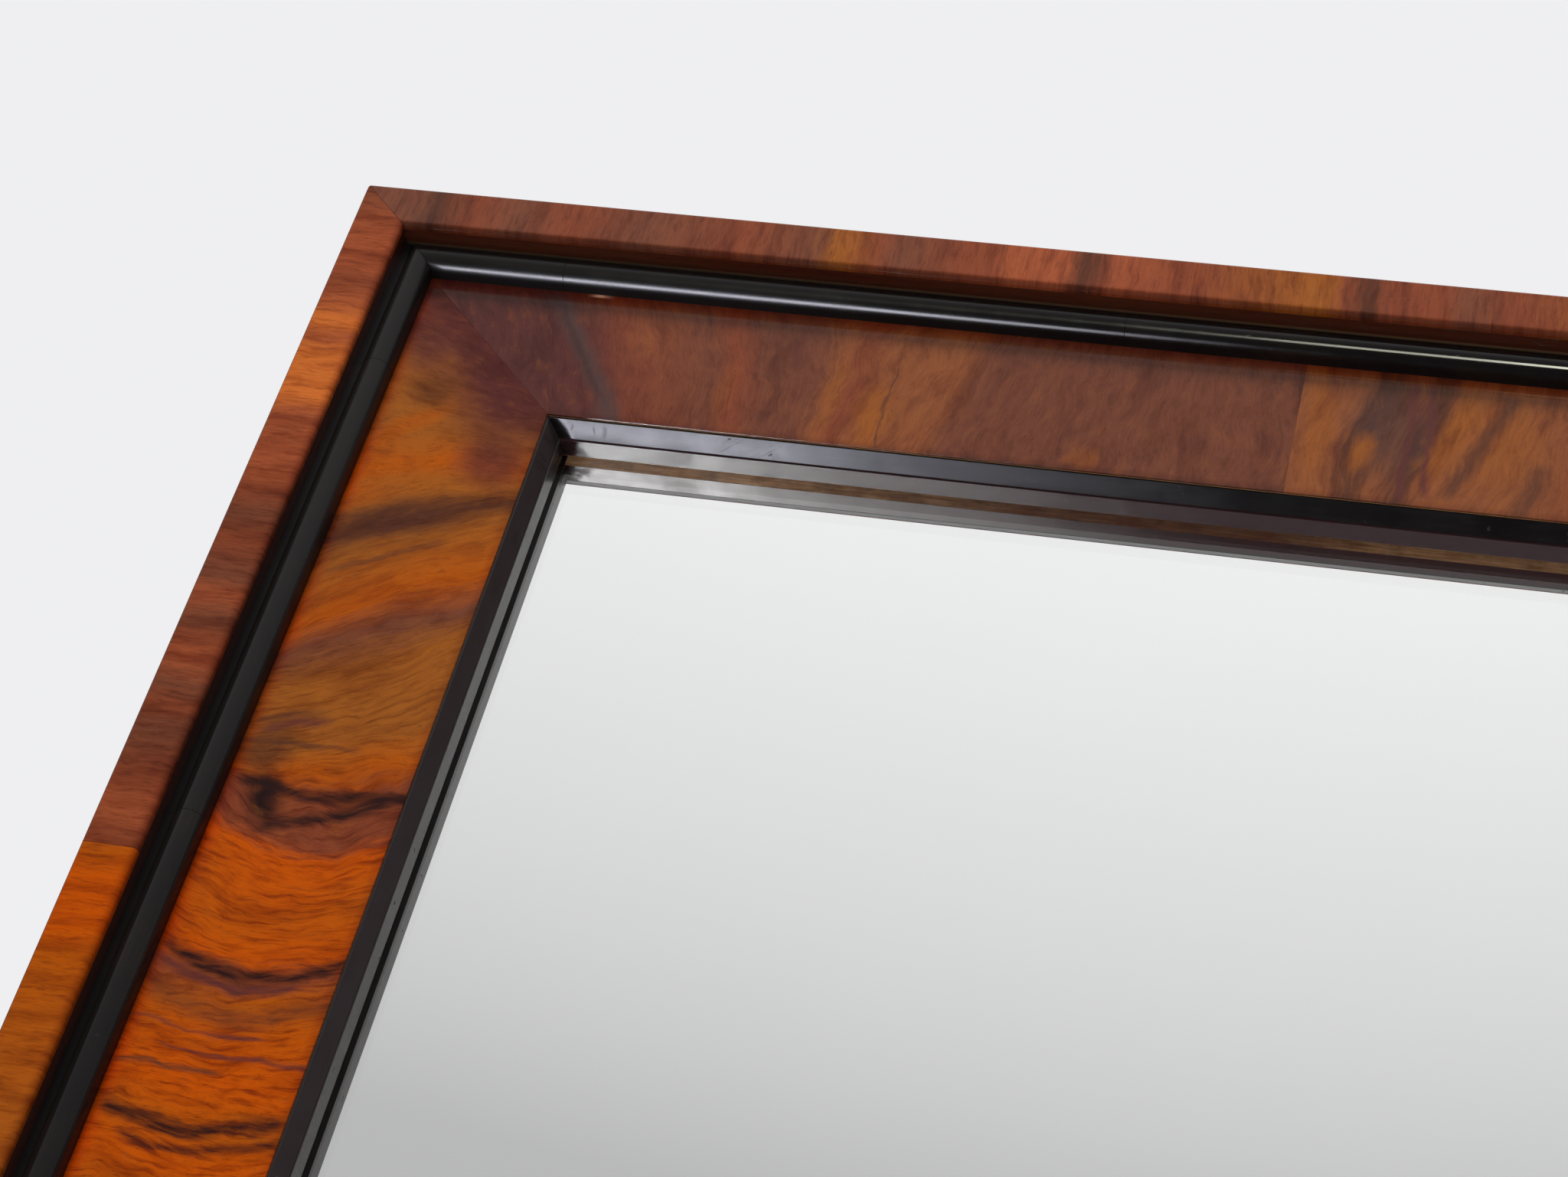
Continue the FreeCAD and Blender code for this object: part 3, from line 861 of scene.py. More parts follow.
def ebonised(name, groove):
    """Black-stained wood under polish, rubbed brown on its edges. groove is how much its groove is lightened,
    as wear and painted light.
    """
    wood = Finish(name, "ebony")
    lay, seed = wood.lay()
    along, across, depth = lay.parts()
    fine = grain(wood.vector(across, along, depth), 2200, 0.03, seed)[0]
    worn = lay.noise(35, 4, 0.6).spread(0.52, 0.75) * fine.spread(0.3, 1)
    wood.cover(worn * 0.35, linear(62, 40, 28))
    # The groove by the rim wall is rubbed brown and lightened as painted light, half as much near the
    # member's start
    rubbed = across.spread(RIM_ACROSS + 1.6 * MM, RIM_ACROSS + 0.8 * MM, 0, groove)
    wood.cover(rubbed * along.spread(0.1, 0.4, 0.5, 1), linear(120, 90, 62))
    rough, scratches = handling(wood.place, 0.09, 0.16, 0.02)
    wood.gather_dust(0.05)
    haze = along.spread(0.14, 0.36, 0.2, 0)
    return wood.done(fine * 0.3 - scratches, 0.006 * MM, Roughness=rough + haze, IOR=1.3)


def slip_black(name, stain, wall):
    """The slip: stain under polish gone a little hazy, with specks, and grime in the corners by the glass.

    wall is the stain's tone on the upright wall by the glass. The stiles' lighter grey tones are painted
    reflection.
    """
    wood = Finish(name, stain)
    lay = wood.lay()[0]
    along, across, depth = lay.parts()
    scuffs = wood.vector(along * 60, across * 500, depth * 500).noise(1, 4, 0.65)
    wood.cover(depth.spread(WALL_DEPTH - 0.3 * MM, WALL_DEPTH), wall)
    wood.cover(scuffs.spread(0.5, 0.8, 0, 0.2), linear(58, 50, 50))
    rough, scratches = handling(wood.place, 0.13, 0.24, 0.015)
    near = along.spread(SIGHT_ACROSS + 16 * MM, SIGHT_ACROSS)
    low = depth.spread(GLASS_DEPTH - 8 * MM, GLASS_DEPTH - 5 * MM)
    smear = near * lay.noise(340, 4, 0.7).spread(0.3, 0.6)
    dull = (smear * low).at_least(lay.noise(260, 3, 0.6).spread(0.68, 0.73))
    ragged = swirl(lay, 0.004, 0.004, 2.0)
    for at, half, start, stop, strength in SLIP_MARKS:
        mark = streak(ragged, at * MM, 0, 0, half * MM, start * MM, stop * MM, 1.2 * MM)
        dull = dull.at_least(mark * strength)
    wood.cover(dull, "ink")
    return wood.done(scuffs - scratches, 0.006 * MM, Roughness=rough.at_least(dull * 0.7), IOR=1.3)


def turned_parts(place, vertical):
    """A place's numbers along a piece, across it and into it, for a rail or an upright piece."""
    x, y, z = place.parts()
    return (z, x, y) if vertical else (x, z, y)


def along_grain(name, vertical, dark, light, smooth, hazy):
    """Plain wood whose grain runs along a rail or, turned, along a stile."""
    wood = Finish(name, dark)
    rough, scratches = handling(wood.place, smooth, hazy, 0.05)
    along, across, depth = turned_parts(wood.place, vertical)
    warped = swirl(wood.vector(across + depth, along, depth), 0.006, 0.09, 4.0)
    fine, pores = grain(warped, 900, 0.05, 2.0)
    wood.cover(grain(warped, 130, 0.3, 1.0)[0], light)
    wood.cover(fine.spread(0.6, 0, 0, 0.5), dark)
    wood.cover(pores * 0.5, "ink")
    wood.gather_dust(0.5)
    return wood.done(fine * 0.5 - pores - scratches, 0.03 * MM, Roughness=rough, IOR=1.42)


def softwood(name, vertical, seed):
    """Bare aged softwood: rings, fibres, a knot here and there, and stains."""
    wood = Finish(name, "pine")
    rings, fibres, knots = board(wood.vector(*turned_parts(wood.place, vertical)), 0.006, seed)
    wood.cover(rings * 0.6, linear(128, 80, 42))
    wood.cover(fibres.spread(0.6, 0, 0, 0.4), dimmed("pine", 0.5))
    wood.cover(knots * 0.8, linear(70, 38, 22))
    wood.cover(wood.place.noise(9, 5, 0.65).spread(0.5, 0.78, 0, 0.5), linear(92, 66, 44))
    wood.gather_dust(0.4)
    return wood.done(rings * 0.8 + fibres, 0.1 * MM, Roughness=fibres.spread(0, 1, 0.9, 0.68))


def metal(name, tone, dull, smooth, hazy):
    """Worn metal: bright where it is rubbed, dull and spotted elsewhere."""
    worn = Finish(name, tone)
    rough, scratches = handling(worn.place, smooth, hazy, 0.006)
    tarnish = worn.place.noise(300, 5, 0.7)
    worn.cover(tarnish.spread(0.38, 0.66), dull)
    worn.cover(worn.place.noise(1300, 3, 0.6).spread(0.62, 0.74, 0, 0.7), dimmed(dull, 0.3))
    return worn.done(tarnish - scratches, 0.02 * MM, Roughness=rough, Metallic=1)


def backing_paint(name):
    """Paint brushed over the silvering, thin in places where the metal shows through."""
    paint = Finish(name, "backing")
    rough, scratches = handling(paint.place, 0.5, 0.75, 0.04)
    x, y, z = paint.place.parts()
    strokes = paint.vector(x * 260, y, z * 14).noise(1, 3)
    clouds = paint.place.noise(14, 5, 0.6)
    paint.cover(strokes.spread(0.3, 0.7), linear(70, 58, 52))
    paint.cover(clouds.spread(0.62, 0.75, 0, 0.6), linear(150, 146, 140))
    return paint.done(strokes - scratches, 0.03 * MM, Roughness=rough,
                      Metallic=clouds.spread(0.62, 0.75, 0, 0.7))


def clear_glass(name):
    """The glass's front: clear, with faint smears left by cleaning."""
    glass = Finish(name, (0.985, 0.988, 0.988))
    smears = glass.place.noise(22, 5, 0.65)
    glass.cover(smears.spread(0.3, 0.8), (0.975, 0.978, 0.978))
    return glass.done(Roughness=smears.spread(0.6, 0.85, 0, 0.012), Transmission_Weight=1, IOR=1.52)


def silver(name):
    """The silvered face behind the glass, clouded a little near its edges."""
    face = Finish(name, (0.93, 0.93, 0.932))
    x, y, z = face.place.parts()
    clouds = face.place.noise(60, 5, 0.65)
    edge = (SIGHT_HALF_WIDTH - abs(x)).at_most(SIGHT_HALF_HEIGHT - abs(z - CENTRE.z))
    face.cover(edge.spread(5 * MM, 0) * clouds.spread(0.5, 0.75, 0, 0.6), (0.6, 0.57, 0.53))
    return face.done(Roughness=clouds.spread(0.6, 0.85, 0, 0.01), Metallic=1)


def glass_margin(name):
    """What shows through the glass under the slip: bare wood at the rails, dark stain at the stiles.

    It glows very faintly as painted light, for the light that reaches it inside the glass.
    """
    wood = Finish(name, "bare")
    x, y, z = wood.place.parts()
    wood.cover(wood.vector(x * 60, y, z * 900).noise(1, 4, 0.6).spread(0.3, 0.7), linear(150, 100, 60))
    grime = wood.place.noise(130, 4, 0.65)
    wood.cover(grime.spread(0.45, 0.7, 0, 0.5), "umber")
    from_left = x + WIDTH / 2
    # Painted shade: darker from 0.16 m from the left edge on, most between 0.3 m and 0.36 m
    shaded = from_left.spread(0.16, 0.3, smooth=True) * from_left.spread(0.4, 0.36, 0.35, 1, smooth=True)
    wood.cover(shaded * 0.75, "plum")
    wood.cover((abs(x) - SIGHT_HALF_WIDTH).spread(-0.1 * MM, 0.1 * MM), "ebony")
    return wood.done(Roughness=grime.spread(0, 1, 0.7, 0.9), Emission_Color=wood.tone, Emission_Strength=0.12)


def felted(name):
    """Pressed felt: matted fibres, a soft sheen and a paler worn crown."""
    pad = Finish(name, dimmed("felt", 0.45))
    fibres = pad.place.noise(2600, 4, 0.7, 1.5)
    lumps = pad.place.noise(420, 3, 0.6)
    pad.cover(fibres.spread(0.35, 0.65), "felt")
    pad.cover(lumps.spread(0.5, 0.8, 0, 0.4), linear(136, 118, 100))
    return pad.done(fibres + lumps, 0.25 * MM, Roughness=0.95, Sheen_Weight=0.4, Sheen_Roughness=0.5)


# The veneers' colours from a member's end, in millimetres
RAIL_FACING = ((0, "brown"), (22, "brown"), (30, "umber"), (45, "russet"), (64, "brown"), (84, "russet"),
               (112, "brown"), (150, "russet"), (178, "brown"), (187, "golden"), (202, "russet"),
               (209, "brown"), (232, "russet"), (246, "russet"), (252, "flame"), (272, "flame"),
               (277, "umber"), (285, "russet"), (290, "flame"), (314, "russet"), (319, "russet"),
               (366, "golden"), (373, "russet"), (380, "umber"), (388, "russet"), (410, "russet"),
               (414, "brown"), (430, "russet"), (530, "golden"), (590, "brown"), (670, "flame"),
               (724, "brown"))
STILE_FACING = ((0, "brown"), (24, "flame"), (44, "flame"), (52, "russet"), (62, "flame"), (74, "copper"),
                (80, "flame"), (88, "copper"), (112, "copper"), (122, "flame"), (150, "flame"),
                (160, "russet"), (170, "brown"), (182, "russet"), (200, "brown"), (209, "flame"),
                (219, "brown"), (228, "russet"), (238, "flame"), (249, "brown"), (258, "russet"),
                (268, "brown"), (290, "russet"), (302, "flame"), (317, "russet"), (319, "amber"),
                (332, "orange"), (352, "orange"), (361, "amber"), (480, "golden"), (640, "umber"),
                (920, "plum"))
RAIL_PANEL = ((33, "brown"), (90, "brown"), (112, "russet"), (146, "brown"), (158, "russet"),
              (168, "brown"), (186, "brown"), (195, "honey"), (201, "russet"), (211, "honey"),
              (236, "honey"), (245, "brown"), (300, "brown"), (361, "brown"), (363, "honey"),
              (376, "honey"), (384, "umber"), (396, "honey"), (404, "umber"), (413, "honey"),
              (450, "honey"), (500, "russet"), (540, "umber"), (575, "honey"), (610, "russet"),
              (650, "plum"), (690, "umber"))
RAIL_SLOPES = ((0, 0.1), (110, 0.3), (170, 0.1), (240, -0.25), (300, -0.05), (360, 0), (420, -0.25),
               (520, 0.3), (640, -0.4), (724, -0.4))
RAIL_BOWS = ((0, 0.004), (120, 0.004), (200, 0), (724, 0))

# Patches: place along and across, half length, half width, slope, tone, strength.
# Streaks and chips: place along, half width, slope, bow, from and to across, tone, strength.
RAIL_PATCHES = (
    (70, 64, 30, 70, 1, "plum", 0.9),
    (84, 62, 46, 56, 0.45, "plum", 0.95),
    (124, 50, 16, 20, 0, "honey", 0.35),
    (156, 76, 7, 22, 0, "golden", 0.2),
    (197, 72, 6, 26, 0, "golden", 0.4),
    (221, 52, 24, 30, -0.25, "honey", 0.7),
    (213, 80, 9, 24, 0, "golden", 0.8),
    (290, 90, 9, 9, 0, "golden", 0.5),
    (370, 60, 8, 44, 0, "golden", 0.6),
    (395, 62, 22, 32, 0, "slate", 0.6),
    (386, 74, 6, 14, 0, "golden", 0.8),
    (432, 60, 20, 34, 0, "golden", 0.5),
    (416, 62, 8, 34, -0.25, "golden", 0.8),
)
RAIL_STREAKS = (
    (98.5, 8, 0.63, 2, 30, 102, "slate", 0.9),
    (97, 3, 0.6, 2, 36, 90, "ink", 0.4),
    (182, 4, 0.1, 0, 34, 64, "plum", 0.6),
    (217, 0.8, 0, 0, 50, 98, "umber", 0.8),
    (361.6, 0.6, 0, 0, 33, 96, "ink", 0.6),
    (401, 3, 0, -1, 33, 96, "plum", 0.95),
    (407.5, 2.6, 0.05, 1, 33, 96, "plum", 0.95),
    (427.5, 5, -0.36, 0, 36, 96, "umber", 1),
    (448, 7, -0.2, 0, 66, 100, "umber", 0.8),
    (520, 6, 0.3, 2, 30, 100, "ink", 0.7),
    (592, 4, -0.2, -2, 30, 100, "plum", 0.8),
    (640, 9, -0.45, -4, 30, 100, "ink", 0.7),
)
STILE_PANEL = ((33, "brown"), (58, "russet"), (74, "brown"), (92, "golden"), (112, "golden"),
               (128, "amber"), (142, "golden"), (152, "umber"), (164, "golden"), (190, "amber"),
               (206, "brown"), (222, "golden"), (240, "golden"), (256, "golden"), (270, "amber"),
               (277, "russet"), (290, "russet"), (296, "orange"), (318, "amber"), (341, "orange"),
               (348, "russet"), (358, "amber"), (392, "orange"), (406, "amber"), (420, "orange"),
               (440, "amber"), (461, "golden"))
STILE_SLOPES = ((0, 0.2), (70, 0.3), (120, 0.05), (150, -0.4), (215, -0.7), (262, -0.2), (276, 0),
                (461, 0))
STILE_BOWS = ((0, 0), (260, 0), (290, 0.009), (350, 0.006), (400, 0.003), (461, 0))
STILE_PATCHES = (
    (66, 64, 20, 70, 1, "plum", 0.9),
    (78, 80, 54, 36, 0.3, "plum", 1),
    (60, 42, 30, 13, 0, "plum", 0.7),
    (88, 50, 14, 13, 0, "umber", 0.6),
    (108, 47, 8, 18, -0.7, "amber", 0.6),
    (122, 82, 18, 20, 0, "plum", 0.7),
    (134, 58, 9, 30, -0.1, "golden", 0.6),
    (152, 52, 13, 38, -0.3, "umber", 0.9),
    (262, 44, 18, 15, -0.3, "umber", 0.7),
    (283, 49, 15, 13, 0.3, "ink", 1),
    (284, 70, 9, 24, 0, "russet", 0.7),
    (318, 62, 22, 36, 0, "orange", 0.6),
    (384, 60, 26, 40, 0, "orange", 0.5),
)
STILE_STREAKS = (
    (168, 3, -0.5, 0, 34, 80, "umber", 0.6),
    (240, 4, -0.3, 3, 30, 62, "umber", 0.8),
    (249, 3.4, -0.2, -2, 34, 66, "plum", 0.8),
    (256, 2, -0.1, 2, 30, 76, "umber", 0.8),
    (276.5, 4, 0.01, 1, 34, 102, "ink", 1),
    (289, 4.6, -0.43, 0, 46, 102, "ink", 1),
    (342.5, 5, 0, 8.5, 30, 104, "ink", 1),
    (348, 3, 0, 8, 32, 90, "plum", 1),
    (360, 8, 0, 6, 30, 104, "umber", 0.6),
    (372, 1.8, 0, 2, 30, 84, "plum", 0.8),
    (381, 1.6, 0.05, 1, 44, 102, "plum", 0.8),
    (390, 2, 0, -1, 30, 74, "umber", 0.9),
    (404, 4.2, 0, 5, 30, 100, "ink", 0.95),
    (411, 3.6, -0.02, 5, 40, 100, "ink", 0.8),
    (438, 3, -0.05, 3, 30, 100, "plum", 0.8),
)
RAIL_CHIPS = ((99.5, 6, 0, 0, 32.6, 34.9, "chip", 1), (99, 3, 0, 0, 33, 34.6, "bare", 0.5))

# Dull marks on the slip's bevel, in millimetres: place along, half width, from and to across, strength
SLIP_MARKS = ((105, 1.6, 96, 99.4, 0.4), (114, 1.4, 96.4, 99, 0.4), (117.5, 2.6, 96.8, 99.6, 0.4),
              (152, 6, 97.5, 100.4, 0.2), (176, 9, 96, 100, 0.16))


# Operators

class MIRROR_OT_facings(bpy.types.Operator):
    """Lay the crossbanded facing on the rim, leaf by leaf"""
    bl_idname = "mirror.facings"
    bl_label = "Rim facings"

    def execute(self, context):
        sizes = context.scene.mirror_sizes
        low, high, front, back = section("crossband")
        outline = rounded_outline([(low, back, 0), (low, front, sizes.rim_outer_round),
                                   (high, front, sizes.rim_inner_round), (high, back, 0)])
        run = Moulding("rim_facing", divided(outline, 5 * MM), sizes, sizes.waviness, sizes.corner_round)
        leaves = stepped(sizes.leaf_length, sizes.leaf_length, HEIGHT)
        rails = facing_veneer("rail crossbanding", RAIL_FACING, WIDTH, leaves, 0.0, 1.25)
        stiles = facing_veneer("stile crossbanding", STILE_FACING, HEIGHT, leaves, 0.16, 1.14)
        run.fit("crossband_", "crossband_veneer", rails, stiles, leaves, leaves)
        return {"FINISHED"}


class MIRROR_OT_beads(bpy.types.Operator):
    """Run the black bead and its fillet inside the rim"""
    bl_idname = "mirror.beads"
    bl_label = "Beads"

    def execute(self, context):
        sizes = context.scene.mirror_sizes
        low, high, crown, foot = section("bead")
        radius = (high - low - sizes.fillet_width) / 2
        middle = high - radius
        spring = crown + radius
        outline = [Vector((high, foot)), Vector((low, foot)), Vector((low, sizes.fillet_depth))]
        rise = math.asin((spring - sizes.fillet_depth) / radius)
        for step in range(BEAD_STEPS + 1):
            turn = rise + (math.pi - rise) * step / BEAD_STEPS
            outline.append(Vector((middle - radius * math.cos(turn), spring - radius * math.sin(turn))))
        run = Moulding("bead_run", outline, sizes, sizes.waviness * 0.6)
        joints = stepped(sizes.bead_first_joint, sizes.bead_length, HEIGHT)
        rails = ebonised("rail bead black", 0.5)
        stiles = ebonised("stile bead black", 0.0)
        run.fit("bead_", "ebonised_wood", rails, stiles, joints)
        return {"FINISHED"}


class MIRROR_OT_panels(bpy.types.Operator):
    """Lay the figured veneer on the flat of each member"""
    bl_idname = "mirror.panels"
    bl_label = "Figured panels"

    def execute(self, context):
        sizes = context.scene.mirror_sizes
        low, high, front, back = section("panel_veneer")
        corners = [(low, back), (low, front), (high, front), (high, back)]
        run = Moulding("figured_panel", divided([Vector(corner) for corner in corners], 8 * MM), sizes,
                       sizes.waviness)
        run.ease = sizes.joint_ease * 0.4
        middle = [WIDTH / 2]
        rails = panel_veneer("rail figured veneer", RAIL_PANEL, WIDTH, middle, RAIL_SLOPES, RAIL_BOWS,
                             (RAIL_PATCHES, RAIL_STREAKS, RAIL_CHIPS), (0.25, 0.25), 0.2, 1.25)
        stiles = panel_veneer("stile figured veneer", STILE_PANEL, HEIGHT / 2, (), STILE_SLOPES, STILE_BOWS,
                              (STILE_PATCHES, STILE_STREAKS, ()), (0.2, 0.8), 0.12, 1.16)
        run.fit("panel_veneer_", "figured_veneer", rails, stiles, gaps=middle, matched=True)
        return {"FINISHED"}


class MIRROR_OT_slips(bpy.types.Operator):
    """Fit the black slip that falls to the glass"""
    bl_idname = "mirror.slips"
    bl_label = "Sight slips"

    def execute(self, context):
        sizes = context.scene.mirror_sizes
        low, sight, front, back = section("sight_slip")
        back -= sizes.slip_clearance
        bottom = front + sizes.slip_bevel
        quirk = sight - sizes.slip_quirk_width
        outline = rounded_outline([
            (low, back, 0), (low, front, 0.1 * MM), (low + sizes.slip_nose, front, 0.25 * MM),
            (sight - sizes.slip_arris_inset, bottom, 0.15 * MM), (quirk, bottom, 0),
            (quirk, bottom + sizes.slip_quirk, 0), (sight, bottom + sizes.slip_quirk, 0.12 * MM),
            (sight, back, 0.1 * MM)])
        run = Moulding("sight_slip_run", divided(outline, 4 * MM), sizes, sizes.waviness * 0.5)
        rails = slip_black("rail slip black", "ebony", linear(58, 36, 38))
        # The stiles' slip is the same black stain as the rails'; its lighter grey bevel and wall are painted
        # reflection
        stiles = slip_black("stile slip black", linear(50, 43, 44), linear(66, 60, 58))
        run.fit("sight_slip_", "ebonised_slip", rails, stiles)
        return {"FINISHED"}


def coat(node, material, width=0.0):
    """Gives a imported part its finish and, with a width, eases its plain edges."""
    part = frame["nodes"][node]
    if width:
        weld = part.modifiers.new("Weld", "WELD")
        weld.merge_threshold = 0.001 * MM
        bevel = part.modifiers.new("Eased edges", "BEVEL")
        bevel.width = width
        bevel.segments = 2
        bevel.limit_method = "ANGLE"
        bevel.angle_limit = math.radians(40)
    part.data.materials.clear()
    part.data.materials.append(material)


def stand_off(node, gap, way="NORMAL"):
    """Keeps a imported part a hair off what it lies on: each face along its normal, or all of it one way."""
    hair = frame["nodes"][node].modifiers.new("Hair's gap", "DISPLACE")
    hair.direction = way
    hair.strength = gap
    hair.mid_level = 0


class MIRROR_OT_carcase(bpy.types.Operator):
    """Finish the rim walls, side veneers, core members, keys and rub blocks"""
    bl_idname = "mirror.carcase"
    bl_label = "Carcase"

    def execute(self, context):
        hard = along_grain("key and block wood", False, linear(120, 84, 54), linear(158, 118, 80), 0.55, 0.75)
        # The rim walls are one stained wood; the rails' lighter tones than the stiles' are painted light
        for member, sides, vertical, wall, seed in (("rail", RAILS, False, ("wall", "umber"), 9.0),
                                                    ("stile", STILES, True, ("ink", "wall"), 2.0)):
            walls = along_grain(member + " rim wall", vertical, *wall, 0.1, 0.22)
            veneer = along_grain(member + " side veneer", vertical, "umber", "walnut", 0.22, 0.4)
            core = softwood(member + " core", vertical, seed)
            for side in sides:
                coat("rim_" + side, walls)
                coat("side_veneer_" + side, veneer)
                coat("core_" + side, core, 0.3 * MM)
                coat("rub_blocks_" + side, hard)
        for name in ("top_left", "top_right", "bottom_left", "bottom_right"):
            coat("mitre_keys_" + name, hard)
        return {"FINISHED"}


def glass_sheet(low, high, arris):
    """A sheet of glass with ground edges. Its faces take the clear, silvered or margin finish by index."""
    sight = (SIGHT_HALF_WIDTH, SIGHT_HALF_HEIGHT)
    whole = ((high.x - low.x) / 2, (high.z - low.z) / 2)
    eased = (whole[0] - arris, whole[1] - arris)
    loops = [(sight, low.y), (eased, low.y), (whole, low.y + arris), (whole, high.y - arris), (eased, high.y)]
    mesh = bmesh.new()
    rings = []
    for (half_width, half_height), y in loops:
        rings.append([mesh.verts.new((CENTRE.x + x_way * half_width, y, CENTRE.z + z_way * half_height))
                      for x_way, z_way in ((-1, -1), (1, -1), (1, 1), (-1, 1))])
    mesh.faces.new(rings[0])
    for finish, ring, after in zip((2, 0, 0, 0), rings, rings[1:]):
        for face in band(mesh, ring, after):
            face.material_index = finish
    mesh.faces.new(rings[-1]).material_index = 1
    bmesh.ops.recalc_face_normals(mesh, faces=mesh.faces)
    return finished("mirror_sheet", mesh)


class MIRROR_OT_glazing(bpy.types.Operator):
    """Cut, silver and clean the mirror glass"""
    bl_idname = "mirror.glazing"
    bl_label = "Glass"

    def execute(self, context):
        low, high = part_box("mirror_glass")
        sheet = glass_sheet(low, high, context.scene.mirror_sizes.glass_arris)
        dress(sheet, "mirror_glass", "glass", clear_glass("clear glass"))
        sheet.data.materials.append(silver("silvered face"))
        sheet.data.materials.append(glass_margin("wood behind the margin"))
        coat("mirror_silvering", backing_paint("backing paint"))
        stand_off("mirror_silvering", -0.01 * MM)
        return {"FINISHED"}


class MIRROR_OT_back(bpy.types.Operator):
    """Finish the back boards, turn buttons, hangers, screws and pads"""
    bl_idname = "mirror.back"
    bl_label = "Back"

    def execute(self, context):
        for index in (1, 2, 3):
            coat("back_board_" + str(index), softwood("back board " + str(index), True, index * 5.3),
                 context.scene.mirror_sizes.arris)
        brass = metal("aged brass", "brass", linear(104, 78, 42), 0.25, 0.5)
        steel = metal("dull steel", "steel", linear(80, 76, 72), 0.3, 0.55)
        ring = metal("ring steel", linear(150, 148, 144), linear(92, 88, 84), 0.22, 0.45)
        felt = felted("brown felt")
        for name in ("top", "bottom", "left_upper", "left_lower", "right_upper", "right_lower"):
            coat("turn_button_" + name, brass)
            stand_off("turn_button_" + name, 0.005 * MM, "Y")
        coat("turn_button_screws", brass)
        coat("hanger_screws", steel)
        for side in STILES:
            coat("hanger_strap_" + side, steel)
            coat("hanger_ring_" + side, ring)
            coat("wall_bumper_" + side, felt)
        return {"FINISHED"}


# The stage: camera, lamps, surroundings and floor

SENSOR_WIDTH = 36
CAMERA_LENS = 83.89
CAMERA_PLACE = Vector((0.103635, -0.977388, -0.777919))
CAMERA_RIGHT = Vector((0.97098288, 0.08687831, 0.22281023))
CAMERA_UP = Vector((-0.1115496, -0.65958456, 0.74330673))

# How bright the surroundings look in polish and glass, by height and side: mostly up and to the right
SURROUND_SHADES = ((0.0, 0.08), (0.49, 0.18), (0.607, 0.34), (0.677, 0.46), (0.754, 0.53), (0.77, 0.65),
                   (0.78, 0.71), (0.792, 0.77), (0.814, 0.865), (0.83, 0.93), (0.845, 0.96), (1.0, 0.98))
SURROUND_TILT = -0.05

KEY_LAMP = (-1.0, -3.4, 6.0)
BACK_LAMP = (1.2, 3.0, 1.8)
LAMP_SIZE = 1.6
FLOOR_REACH = 6

UP = (0, 0, 1)
ASIDE = (0.47, 0.97, 0.88)
INWARDS = (0, 1, 0)
LOW_TONE = (0.87, 0.87, 1)
FRONT_TONE = (0.98, 1, 0.82)
WHITE = (1, 1, 1)
SLIPS = ("sight_slip_run", "mirror_sheet")
BEADS = ("bead_run",)

# Panels that only polish and glass mirror: name, place, the way they face, width, height, share of the
# power, tone, and the pieces that mirror them
REFLECTORS = (
    ("low_panel", (-0.75, -0.02, -1.2), UP, 0.6, 1.05, 1, LOW_TONE, SLIPS),
    ("low_panel_left", (-0.75, -0.02, -1.2), UP, 0.6, 1.05, 2.05, LOW_TONE, BEADS),
    ("low_panel_edge", (-0.35, -0.02, -1.2), UP, 0.2, 1.05, 0.055, LOW_TONE, SLIPS),
    ("low_panel_middle", (-0.35, -0.02, -1.2), UP, 0.2, 1.05, 0.24, LOW_TONE, BEADS),
    ("side_panel", (-0.72, -1.0, -0.83), ASIDE, 0.47, 0.15, 1, WHITE, SLIPS),
    ("side_panel_edge", (-0.4, -1.155, -0.83), ASIDE, 0.24, 0.15, 0.2, WHITE, SLIPS),
    ("front_panel", (0.16, -1.5, -0.15), INWARDS, 0.62, 0.4, 0.78, FRONT_TONE, BEADS),
    ("front_panel_right", (0.33, -1.48, -0.15), INWARDS, 0.6, 0.4, 0.9, FRONT_TONE, BEADS),
)


def place_camera():
    data = bpy.data.cameras.new("camera")
    data.lens = CAMERA_LENS
    data.sensor_width = SENSOR_WIDTH
    data.clip_start = 0.01
    camera = added("camera", data)
    back = CAMERA_RIGHT.cross(CAMERA_UP)
    turned = Matrix((CAMERA_RIGHT, CAMERA_UP, back)).transposed().to_4x4()
    camera.matrix_world = Matrix.Translation(CAMERA_PLACE) @ turned
    bpy.context.scene.camera = camera


def place_lamp(name, place, target, width, height, power, tone=WHITE):
    """A soft rectangular lamp that faces a target."""
    data = bpy.data.lights.new(name, "AREA")
    data.shape = "RECTANGLE"
    data.size = width
    data.size_y = height
    data.energy = power
    data.color = tone
    lamp = added(name, data)
    lamp.location = place
    lamp.rotation_euler = (Vector(target) - Vector(place)).to_track_quat("-Z", "Y").to_euler()
    lamp.visible_camera = False
    return lamp


def mirrored_by(lamp, pieces):
    """Lets a lamp be seen in the polish of some pieces alone."""
    seen = bpy.data.collections.new("mirror the " + lamp.name)
    for piece in bpy.context.scene.objects:
        if piece.name.startswith(pieces):
            seen.objects.link(piece)
    lamp.light_linking.receiver_collection = seen
    lamp.visible_diffuse = False


